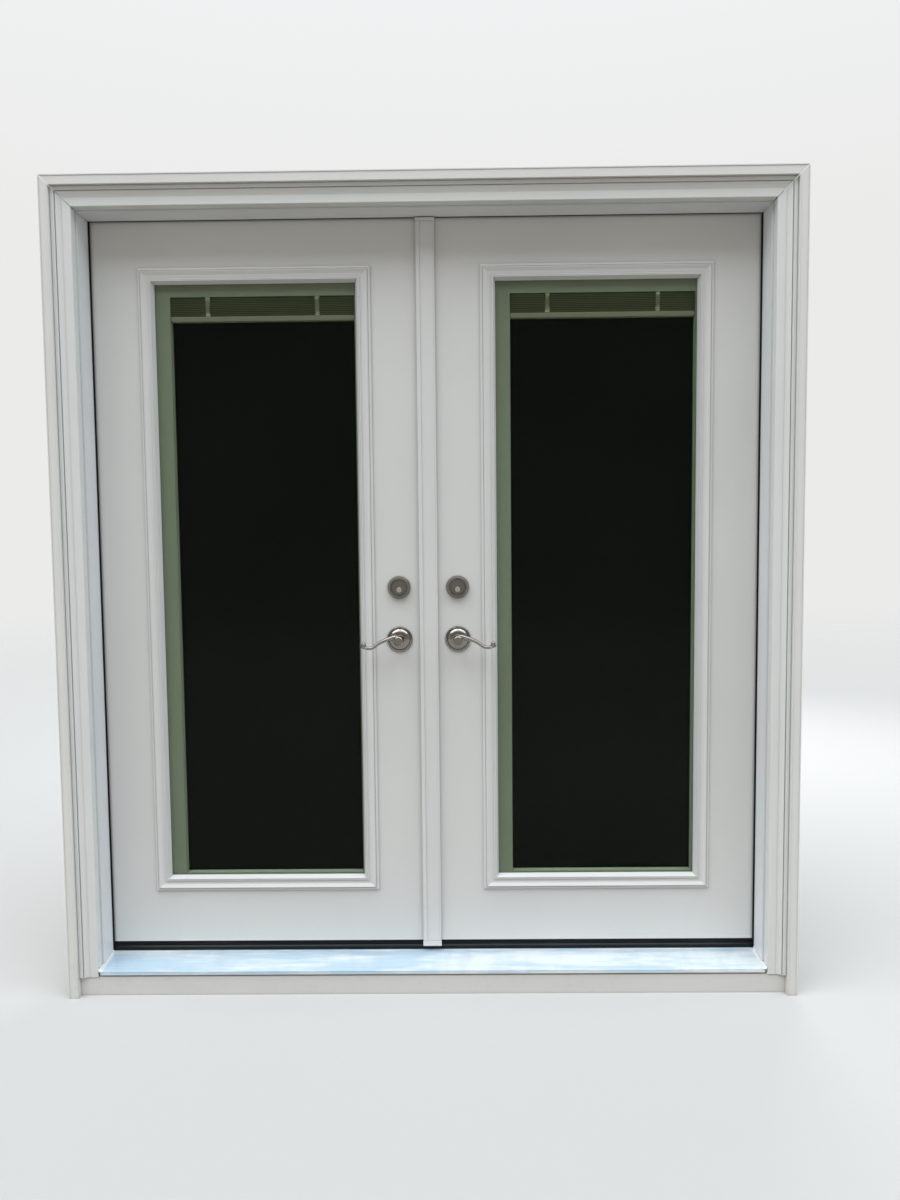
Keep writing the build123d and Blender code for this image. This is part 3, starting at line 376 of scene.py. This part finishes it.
def times(tree, first, second):
    return add_node(tree, "ShaderNodeMath", {0: first, 1: second}, operation="MULTIPLY").outputs[0]


def remap(tree, value, low, high, to_low, to_high):
    values = {"Value": value, "From Min": low, "From Max": high, "To Min": to_low, "To Max": to_high}
    return add_node(tree, "ShaderNodeMapRange", values).outputs["Result"]


def blend_colours(tree, factor, first, second):
    mix = add_node(tree, "ShaderNodeMix", {MIX_FACTOR: factor}, data_type="RGBA")
    for socket, value in ((MIX_FIRST, first), (MIX_SECOND, second)):
        is_linked = isinstance(value, bpy.types.NodeSocket)
        put(tree, mix, {socket: value if is_linked else (*value, 1)})
    return mix.outputs[MIX_RESULT]


def seen_share(tree):
    """1 for rays that show the surroundings, straight or mirrored, and 0 for those that only light."""
    path = add_node(tree, "ShaderNodeLightPath")
    mirrored = larger(tree, path.outputs["Is Glossy Ray"], path.outputs["Is Transmission Ray"])
    return larger(tree, path.outputs["Is Camera Ray"], mirrored)


def make_world():
    """Pale behind the part and overhead, and dim in front, so that glass and metal have a dark side."""
    world = bpy.data.worlds.new("studio")
    world.use_nodes = True
    tree = world.node_tree
    coordinates = add_node(tree, "ShaderNodeTexCoord")
    split = add_node(tree, "ShaderNodeSeparateXYZ", {"Vector": coordinates.outputs["Generated"]})
    inward = remap(tree, split.outputs["Y"], *INWARD_RANGE, 0, 1)
    upward = remap(tree, split.outputs["Z"], *UPWARD_RANGE, 0, 1)
    above = remap(tree, split.outputs["Z"], *ABOVE_RANGE, 0, 1)
    front = blend_colours(tree, above, FRONT_LOW_SEEN, FRONT_SEEN)
    seen = blend_colours(tree, upward, blend_colours(tree, inward, front, BACK_SEEN), TOP_SEEN)
    sideways = add_node(tree, "ShaderNodeMath", {0: split.outputs["X"]}, operation="ABSOLUTE").outputs[0]
    beside = remap(tree, sideways, *BESIDE_RANGE, 0, 1)
    level = blend_colours(tree, beside, blend_colours(tree, inward, FRONT_LIGHT, BACK_LIGHT), SIDE_LIGHT)
    light = blend_colours(tree, upward, level, TOP_LIGHT)
    colour = blend_colours(tree, seen_share(tree), light, seen)
    put(tree, tree.nodes["Background"], {"Color": colour, "Strength": 1.0})
    bpy.context.scene.world = world


def link_object(name, mesh):
    made = bpy.data.objects.new(name, mesh)
    bpy.context.scene.collection.objects.link(made)
    return made


def new_material(name):
    material = bpy.data.materials.new(name)
    material.use_nodes = True
    tree = material.node_tree
    return material, tree, tree.nodes["Principled BSDF"]


def place_coordinates(tree, stretch=(1, 1, 1)):
    """The place on the part in metres, with each axis multiplied."""
    place = add_node(tree, "ShaderNodeTexCoord").outputs["Object"]
    return add_node(tree, "ShaderNodeMapping", {"Vector": place, "Scale": stretch}).outputs["Vector"]


def make_floor(level):
    """A wide floor that fades into the world with distance."""
    mesh = bpy.data.meshes.new("floor")
    ways = ((-1, -1), (1, -1), (1, 1), (-1, 1))
    mesh.from_pydata([(x * FLOOR_REACH, y * FLOOR_REACH, level) for x, y in ways], [], [(0, 1, 2, 3)])
    floor = link_object("floor", mesh)
    material, tree, shader = new_material("floor_matt")
    away = add_node(tree, "ShaderNodeVectorMath", {0: place_coordinates(tree)}, operation="LENGTH")
    put(tree, shader, {
        "Base Color": blend_colours(tree, seen_share(tree), FLOOR_BOUNCE, FLOOR_SEEN),
        "Roughness": FLOOR_ROUGHNESS,
        "Specular IOR Level": FLOOR_SPECULAR,
        "Alpha": remap(tree, away.outputs["Value"], FLOOR_FADE_START, FLOOR_FADE_END, 1, 0),
    })
    mesh.materials.append(material)


def noise(tree, vector, scale, detail, roughness=USUAL_NOISE_ROUGHNESS):
    values = {"Vector": vector, "Scale": scale, "Detail": detail, "Roughness": roughness}
    return add_node(tree, "ShaderNodeTexNoise", values).outputs["Fac"]


def grain(tree, stretch, detail, roughness):
    """Noise that is finer along the axes with the larger stretch."""
    return noise(tree, place_coordinates(tree, stretch), 1.0, detail, roughness)


def spread(tree, value, to_low=0, to_high=1):
    """The middle of a noise's range, remapped."""
    return remap(tree, value, *NOISE_MIDDLE, to_low, to_high)


def uneven(tree, value, middle, offsets):
    """A number that noise moves by the two offsets."""
    return spread(tree, value, middle + offsets[0], middle + offsets[1])


def shaded(colour, factor):
    return tuple(min(1.0, channel * factor) for channel in colour)


def toned(tree, factor, colour, tones):
    """Two tones of one colour, blended."""
    return blend_colours(tree, factor, shaded(colour, tones[0]), shaded(colour, tones[1]))


def bump(tree, height, strength, distance):
    values = {"Height": height, "Strength": strength, "Distance": distance}
    return add_node(tree, "ShaderNodeBump", values).outputs["Normal"]


def painted_groove_shade(tree, colour, shade_colour, share):
    """The colour, darkened with painted shade in grooves and corners, where ambient occlusion finds them.
    """
    values = {"Distance": GROOVE_SHADE_REACH}
    hollow = add_node(tree, "ShaderNodeAmbientOcclusion", values, samples=GROOVE_SHADE_SAMPLES)
    groove_shade = remap(tree, hollow.outputs["AO"], *GROOVE_SHADE_RANGE, share, 0)
    return blend_colours(tree, groove_shade, colour, shade_colour)


def paint(name, colour, roughness, peel_size, peel_height, dust, specular, groove_shade):
    """Smooth coated surface: clouds of tone, orange peel, uneven gloss, dust low down, painted shade in
    grooves.
    """
    material, tree, shader = new_material(name)
    place = place_coordinates(tree)
    base = toned(tree, spread(tree, noise(tree, place, *CLOUD_NOISE)), colour, CLOUD_TONES)
    height = add_node(tree, "ShaderNodeSeparateXYZ", {"Vector": place}).outputs["Z"]
    low_down = remap(tree, height, *DUST_HEIGHTS, 0, dust)
    specks = remap(tree, noise(tree, place, *DUST_NOISE), *DUST_RANGE, 0, 1)
    dusty = blend_colours(tree, times(tree, specks, low_down), base, DUST_COLOUR)
    peel = noise(tree, place, 1 / peel_size, PEEL_DETAIL)
    put(tree, shader, {
        "Base Color": painted_groove_shade(tree, dusty, shaded(colour, PAINT_GROOVE_SHADE_TONE), groove_shade),
        "Roughness": uneven(tree, noise(tree, place, *PAINT_GLOSS_NOISE), roughness, PAINT_GLOSS_SPREAD),
        "Normal": bump(tree, peel, PEEL_STRENGTH, peel_height),
        "Specular IOR Level": specular,
    })
    return material


def satin_metal(name, colour, roughness, stretch, grain_height, anisotropy):
    """Bare or plated metal with a fine grain, handling marks, and painted shade in grooves."""
    material, tree, shader = new_material(name)
    lines = grain(tree, stretch, METAL_GRAIN_DETAIL, METAL_GRAIN_ROUGHNESS)
    tone = toned(tree, spread(tree, lines), colour, METAL_TONES)
    marks = remap(tree, noise(tree, place_coordinates(tree), *MARK_NOISE), *MARK_RANGE, 0, MARK_SHARE)
    worn = blend_colours(tree, marks, tone, shaded(colour, MARK_TONE))
    put(tree, shader, {
        "Base Color": painted_groove_shade(tree, worn, shaded(colour, METAL_GROOVE_SHADE_TONE), GROOVE_SHADE_SHARE),
        "Metallic": 1.0,
        "Roughness": uneven(tree, lines, roughness, METAL_GLOSS_SPREAD),
        "Normal": bump(tree, lines, METAL_GRAIN_STRENGTH, grain_height),
        "Anisotropic": anisotropy,
    })
    return material


def dark_polymer(name, colour, roughness, dust_colour):
    """Black vinyl or rubber with pale dust in streaks along it."""
    material, tree, shader = new_material(name)
    dust = remap(tree, grain(tree, *STREAK_GRAIN), *STREAK_RANGE, 0, STREAK_SHARE)
    pores = noise(tree, place_coordinates(tree), *POLYMER_NOISE)
    put(tree, shader, {
        "Base Color": blend_colours(tree, dust, colour, dust_colour),
        "Roughness": roughness,
        "Normal": bump(tree, pores, *POLYMER_BUMP),
        "Specular IOR Level": POLYMER_SPECULAR,
    })
    return material


def pane_glass(name, colour, alpha, specular):
    """A sheet of glass: how much it hides is its alpha, uneven where it is dusty."""
    material, tree, shader = new_material(name)
    place = place_coordinates(tree)
    put(tree, shader, {
        "Base Color": toned(tree, noise(tree, place, *PANE_NOISE), colour, PANE_TONES),
        "Alpha": remap(tree, noise(tree, place, *FILM_NOISE), *FILM_RANGE, alpha, alpha + FILM_SHARE),
        "Roughness": remap(tree, noise(tree, place, *SMEAR_NOISE), *SMEAR_RANGE, *SMEAR_ROUGHNESS),
        "Specular IOR Level": specular,
        "IOR": GLASS_IOR,
    })
    return material


def raw_board(name):
    """Bare board with grain along X."""
    material, tree, shader = new_material(name)
    lines = grain(tree, *BOARD_GRAIN)
    put(tree, shader, {
        "Base Color": toned(tree, spread(tree, lines), BOARD_COLOUR, BOARD_TONES),
        "Roughness": BOARD_ROUGHNESS,
        "Normal": bump(tree, lines, *BOARD_BUMP),
    })
    return material


def sill_metal(name):
    """Coated aluminium drawn along X, with a bluish tone and pale streaks along it that are painted
    reflection, and soft rain marks.
    """
    material, tree, shader = new_material(name)
    drawn = grain(tree, *DRAWN_GRAIN)
    tone = blend_colours(tree, spread(tree, drawn), DRAWN_DARK, DRAWN_PALE)
    streaks = grain(tree, *REFLECTION_STREAK_GRAIN)
    mottled = blend_colours(tree, remap(tree, streaks, *REFLECTION_STREAK_RANGE, 0, 1), tone, REFLECTION_STREAK_COLOUR)
    rain = remap(tree, grain(tree, *RAIN_GRAIN), *RAIN_RANGE, 0, RAIN_SHARE)
    put(tree, shader, {
        "Base Color": blend_colours(tree, rain, mottled, RAIN_COLOUR),
        "Metallic": SILL_METALLIC,
        "Roughness": spread(tree, streaks, *SILL_GLOSS),
        "Normal": bump(tree, drawn, *DRAWN_BUMP),
    })
    return material


def make_materials():
    tables = ((paint, PAINTS), (satin_metal, METALS), (dark_polymer, POLYMERS), (pane_glass, PANES))
    made = {name: make(name, *values) for make, table in tables for name, values in table.items()}
    made["sill_aluminium"] = sill_metal("sill_aluminium")
    made["sill_substrate"] = raw_board("sill_substrate")
    return made


def dress_nodes(materials):
    for subpart in frame["record"]["subparts"]:
        mesh = frame["nodes"][subpart["node"]].data
        mesh.materials.clear()
        mesh.materials.append(materials[subpart["material_slot"]])
    frame["nodes"]["kick_board"].data.materials[0] = materials["kick_paint"]
    frame["nodes"]["astragal"].data.materials[0] = materials["lite_white"]
    for hand in HANDS:
        frame["nodes"][f"{hand}_deadbolt_plug"].data.materials[0] = materials["plug_nickel"]


def bridge(made, near, far):
    """Joins two closed rows of as many points with faces."""
    faces = []
    for index in range(len(near)):
        after = (index + 1) % len(near)
        faces.append(made.faces.new((near[index], near[after], far[after], far[index])))
    return faces


def add_bar(made, section, x_low, x_high):
    """A closed bar along X whose section has the corners (y, z); gives its sides in their order."""
    ends = [[made.verts.new((x, y, z)) for y, z in section] for x in (x_low, x_high)]
    made.faces.new(ends[0][::-1])
    made.faces.new(ends[1])
    return bridge(made, *ends)


def finish_mesh(name, made, material, smooth=False):
    bmesh.ops.recalc_face_normals(made, faces=made.faces)
    mesh = bpy.data.meshes.new(name)
    made.to_mesh(mesh)
    made.free()
    mesh.materials.append(material)
    if smooth:
        mesh.polygons.foreach_set("use_smooth", [True] * len(mesh.polygons))
    return link_object(name, mesh)


def stack_height(low, high, share):
    """Where a share of the slats ends in the drawn-up stack: a smooth step turned round, so that the blend,
    which is a smooth step, spreads them evenly."""
    return high.z - (high.z - low.z) * (0.5 - math.sin(math.asin(1 - 2 * share) / 3))


def slats(hand, materials):
    """The slats, tilted a little. Some have undersides painted dark as shade, which show as lines in the
    drawn-up stack.
    """
    low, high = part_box(f"{hand}_blind_slats")
    middle = (low.y + high.y) / 2
    front = middle - SLAT_DEPTH / 2
    back = middle + SLAT_DEPTH / 2
    made = bmesh.new()
    for index in range(SLAT_COUNT):
        above = stack_height(low, high, index / SLAT_COUNT)
        here = stack_height(low, high, (index + 0.5) / SLAT_COUNT)
        below = stack_height(low, high, (index + 1) / SLAT_COUNT)
        pitch = above - below
        rise = pitch * SLAT_TILT_SHARE / 2
        thick = pitch * SLAT_THICKNESS_SHARE / 2
        here = min(max(here, low.z + rise + thick), high.z - rise - thick)
        section = (
            (front, here - rise - thick),
            (back, here + rise - thick),
            (back, here + rise + thick),
            (front, here - rise + thick),
        )
        underside = add_bar(made, section, low.x, high.x)[0]
        # These undersides take the dark slat material, which is painted shade
        if (high.z - here) / STACK_LINE_SPACING % 1 < STACK_LINE_SHARE:
            underside.material_index = 1
    piece = finish_mesh(f"{hand}_slats", made, materials["slat_sage"])
    piece.data.materials.append(materials["slat_shadow"])
    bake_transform(piece)
    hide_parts(f"{hand}_blind_slats")


def ladders(hand, materials):
    """The ladder tapes before and behind the slats, which loop between them when drawn up."""
    low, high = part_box(f"{hand}_blind_slats")
    middle = (low.y + high.y) / 2
    last_row = 2 * SLAT_COUNT
    chance = random.Random(LADDER_SEEDS[hand])
    made = bmesh.new()
    for x in (low.x + LADDER_INSET, high.x - LADDER_INSET):
        for outward in (-1, 1):
            rows = []
            for index in range(last_row + 1):
                between = index % 2
                height = stack_height(low, high, index / last_row)
                bulge = between * LADDER_BULGE * chance.uniform(LADDER_LEAST_BULGE, 1)
                near = middle + outward * (SLAT_DEPTH / 2 + LADDER_CLEARANCE + bulge)
                far = near + outward * LADDER_THICKNESS
                if index % LADDER_ROWS_A_FOLD == 0:
                    left = x - LADDER_WIDTH / 2 + chance.uniform(-LADDER_WANDER, LADDER_WANDER)
                    right = x + LADDER_WIDTH / 2 + chance.uniform(-LADDER_WANDER, LADDER_WANDER)
                corners = ((left, near), (right, near), (right, far), (left, far))
                rows.append([made.verts.new((a, b, height)) for a, b in corners])
            for upper, lower in zip(rows, rows[1:]):
                bridge(made, upper, lower)
            made.faces.new(rows[0])
            made.faces.new(rows[-1][::-1])
    piece = finish_mesh(f"{hand}_ladders", made, materials["cord_pale"])
    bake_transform(piece)


def face_point(centre, outward):
    """A function that turns (along, aside, out) into a place on the level or upright face at centre."""
    facing = Vector(outward).normalized()
    along = Vector((1, 0, 0)) if facing.z else Vector((0, 0, 1))
    aside = facing.cross(along)
    return lambda a, b, out: Vector(centre) + along * a + aside * b + facing * out


def ring(made, point, radius, out, count):
    """A row of points round a circle, from one step before its first axis, as a cross's corners start."""
    turns = [math.tau * (index - 1) / count for index in range(count)]
    return [made.verts.new(point(radius * math.cos(turn), radius * math.sin(turn), out)) for turn in turns]


def cross_outline(radius):
    """The corners of a cross: the three of one arm, turned four times."""
    arm = radius * CROSS_ARM_SHARE
    half = radius * CROSS_HALF_SHARE
    outline = []
    for cosine, sine in ((1, 0), (0, 1), (-1, 0), (0, -1)):
        for a, b in ((arm, -half), (arm, half), (half, half)):
            outline.append((a * cosine - b * sine, a * sine + b * cosine))
    return outline


def add_screw(made, centre, outward, radius):
    """A countersunk head with a cross recess; outward is the direction that it faces."""
    point = face_point(centre, outward)
    foot = ring(made, point, radius, -2 * SCREW_RECESS, SCREW_POINTS)
    rim = ring(made, point, radius, 0, SCREW_POINTS)
    edge = ring(made, point, radius * SCREW_FLAT_SHARE, SCREW_PROUD, SCREW_POINTS)
    outline = cross_outline(radius)
    inner = [(a * CROSS_FLOOR_SHARE, b * CROSS_FLOOR_SHARE) for a, b in outline]
    cross = [made.verts.new(point(a, b, SCREW_PROUD)) for a, b in outline]
    floor = [made.verts.new(point(a, b, -SCREW_RECESS)) for a, b in inner]
    bridge(made, foot, rim)
    bridge(made, rim, edge)
    bridge(made, cross, floor)
    for index in range(len(cross)):
        after = (index + 1) % len(cross)
        outer = (edge[2 * index], edge[2 * index + 1], edge[2 * after])
        made.faces.new((*outer, cross[after], cross[index]))
    made.faces.new(floor)
    made.faces.new(foot)


def add_cap(made, centre, outward, radius, proud):
    """A low round cap with a rolled edge."""
    point = face_point(centre, outward)
    rows = [ring(made, point, radius * share, proud * out, CAP_POINTS) for share, out in CAP_OUTLINE]
    for near, far in zip(rows, rows[1:]):
        bridge(made, near, far)
    made.faces.new(rows[0])
    made.faces.new(rows[-1])


def ride_fixings(name, made, material, body):
    piece = finish_mesh(name, made, material)
    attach(piece, body)


def middle_of(node):
    low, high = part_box(node)
    return (low + high) / 2


def hinge_screws(materials):
    """Four screws in each hinge leaf, on the jambs and on the slabs."""
    on_frame = bmesh.new()
    for hand, side in HANDS.items():
        low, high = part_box(f"{hand}_hinge_leaves")
        slab_low, slab_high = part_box(f"{hand}_slab")
        slab_face = slab_high.x if side > 0 else slab_low.x
        jamb_face = slab_face + side * HINGE_GAP
        heights = (low.z + HINGE_HEIGHT / 2, (slab_low.z + slab_high.z) / 2, high.z - HINGE_HEIGHT / 2)
        on_leaf = bmesh.new()
        for height in heights:
            for up, inward in HINGE_SCREWS:
                add_screw(on_leaf, (slab_face, inward, height + up), (side, 0, 0), HINGE_SCREW_RADIUS)
                add_screw(on_frame, (jamb_face, inward, height + up), (-side, 0, 0), HINGE_SCREW_RADIUS)
        ride_fixings(f"{hand}_hinge_screws", on_leaf, materials["steel"], f"{hand}_leaf")
    ride_fixings("jamb_hinge_screws", on_frame, materials["steel"], "frame")


def plate_screws(materials):
    """The screws of the faceplates on the left leaf and of the strikes on the right one."""
    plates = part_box("edge_plates")[1]
    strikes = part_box("strike_plates")[0]
    slab_middle = middle_of("left_slab").y
    on_plates = bmesh.new()
    on_strikes = bmesh.new()
    for lock in ("left_roses", "left_deadbolt_cylinder"):
        for way in (-1, 1):
            up = middle_of(lock).z + way * SCREW_SPACING
            add_screw(on_plates, (plates.x, slab_middle, up), (1, 0, 0), SMALL_SCREW_RADIUS)
            add_screw(on_strikes, (strikes.x, slab_middle, up), (-1, 0, 0), SMALL_SCREW_RADIUS)
    ride_fixings("faceplate_screws", on_plates, materials["steel"], "left_leaf")
    ride_fixings("strike_screws", on_strikes, materials["steel"], "right_leaf")


def bolt_strike_screws(materials):
    """The screws of the flush bolts' strikes, in the head jamb and in the threshold cap."""
    centre = middle_of("bolt_strikes")
    head_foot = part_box("right_slab")[1].z + HEAD_GAP
    cap_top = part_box("threshold_cap")[1].z
    made = bmesh.new()
    for way in (-1, 1):
        across = centre.x + way * STRIKE_SCREW_REACH
        add_screw(made, (across, centre.y, head_foot), (0, 0, -1), SMALL_SCREW_RADIUS)
        add_screw(made, (across, centre.y, cap_top), (0, 0, 1), SMALL_SCREW_RADIUS)
    ride_fixings("bolt_strike_screws", made, materials["steel"], "frame")


def turn_screws(hand, materials):
    """The two screws in a thumbturn's plate."""
    plate = middle_of(f"{hand}_thumbturn_plate")
    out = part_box(f"{hand}_slab")[1].y + TURN_SCREW_RISE
    made = bmesh.new()
    for way in (-1, 1):
        across = plate.x + way * TURN_SCREW_REACH
        add_screw(made, (across, out, plate.z), (0, 1, 0), SMALL_SCREW_RADIUS)
    ride_fixings(f"{hand}_turn_screws", made, materials["nickel"], f"{hand}_leaf")


def lite_plugs(hand, materials):
    """The caps over the screws that draw the two lite frames together, on the room side."""
    low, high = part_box(f"{hand}_lite_inside")
    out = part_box(f"{hand}_slab")[1].y + PLUG_RISE
    left, right = low.x + PLUG_INSET, high.x - PLUG_INSET
    foot, top = low.z + PLUG_INSET, high.z - PLUG_INSET
    places = set()
    rows = round((top - foot) / PLUG_SPACING)
    for index in range(rows + 1):
        height = foot + (top - foot) * index / rows
        places.update(((left, height), (right, height)))
    columns = round((right - left) / PLUG_SPACING)
    for index in range(1, columns):
        across = left + (right - left) * index / columns
        places.update(((across, foot), (across, top)))
    made = bmesh.new()
    for across, height in sorted(places):
        add_cap(made, (across, out, height), (0, 1, 0), PLUG_RADIUS, PLUG_PROUD)
    ride_fixings(f"{hand}_lite_plugs", made, materials["lite_white"], f"{hand}_leaf")


def kick_nails(materials):
    """Painted nail heads along the kick board."""
    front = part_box("kick_board")[0].y
    made = bmesh.new()
    for across, height in NAIL_PLACES:
        add_cap(made, (across, front, height), (0, -1, 0), NAIL_RADIUS, NAIL_PROUD)
    ride_fixings("kick_nails", made, materials["kick_paint"], "frame")


def bead_places(deck_front):
    """Places (x, y) along the right bead: it follows the jamb, its front and the casing's edge."""
    route = (
        (STOP_X, STOP_Y),
        (STOP_X, JAMB_FRONT),
        (CASING_X, JAMB_FRONT - BEAD_CORNER_STEP),
        (CASING_X, deck_front - BEAD_OVERRUN),
    )
    places = []
    for start, end in zip(route, route[1:]):
        steps = max(1, round(math.dist(start, end) / BEAD_SPACING))
        for index in range(steps):
            share = index / steps
            places.append(tuple(near + (far - near) * share for near, far in zip(start, end)))
    places.append(route[-1])
    return places


def bead_section(face, level, reach, height):
    """Corners (x, z) of the right bead's section, from its back edge over the top to its toe."""
    return (
        (face + BEAD_BITE, level - BEAD_SINK),
        (face + BEAD_BITE, level + height),
        (face - BEAD_TOP_WIDTH, level + height - BEAD_TOP_FALL),
        (face - reach * BEAD_HOLLOW_REACH, level + height * BEAD_HOLLOW_HEIGHT),
        (face - reach, level + BEAD_TOE_HEIGHT),
        (face - reach - BEAD_TOE_SPLAY, level - BEAD_SINK),
    )


def sealant_beads(materials):
    """A hand-run bead where each jamb stands on the sloped deck."""
    deck_low, deck_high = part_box("sill_deck")
    deck_rise = deck_high.z - DECK_FRONT_HEIGHT
    chance = random.Random(BEAD_SEED)
    made = bmesh.new()
    for side in HANDS.values():
        rows = []
        for face, inward in bead_places(deck_low.y):
            share = (inward - deck_low.y) / (deck_high.y - deck_low.y)
            level = DECK_FRONT_HEIGHT + deck_rise * max(0.0, share)
            reach = face - STOP_X + BEAD_WIDTH + chance.uniform(-BEAD_UNEVEN, BEAD_UNEVEN)
            height = BEAD_HEIGHT + chance.uniform(-BEAD_UNEVEN, BEAD_UNEVEN)
            section = bead_section(face, level, reach, height)
            rows.append([made.verts.new((side * x, inward, z)) for x, z in section])
        for near, far in zip(rows, rows[1:]):
            bridge(made, near, far)
        made.faces.new(rows[0])
        made.faces.new(rows[-1])
    piece = finish_mesh("sealant_beads", made, materials["sealant"], smooth=True)
    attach(piece, "frame")


make_camera()
make_world()
make_lights()
make_floor(cad_box[0].z)
finishes = make_materials()
dress_nodes(finishes)
for hand in HANDS:
    slats(hand, finishes)
    ladders(hand, finishes)
    lite_plugs(hand, finishes)
hinge_screws(finishes)
plate_screws(finishes)
bolt_strike_screws(finishes)
for hand in HANDS:
    turn_screws(hand, finishes)
kick_nails(finishes)
sealant_beads(finishes)

bpy.context.scene.view_settings.view_transform = "Standard"
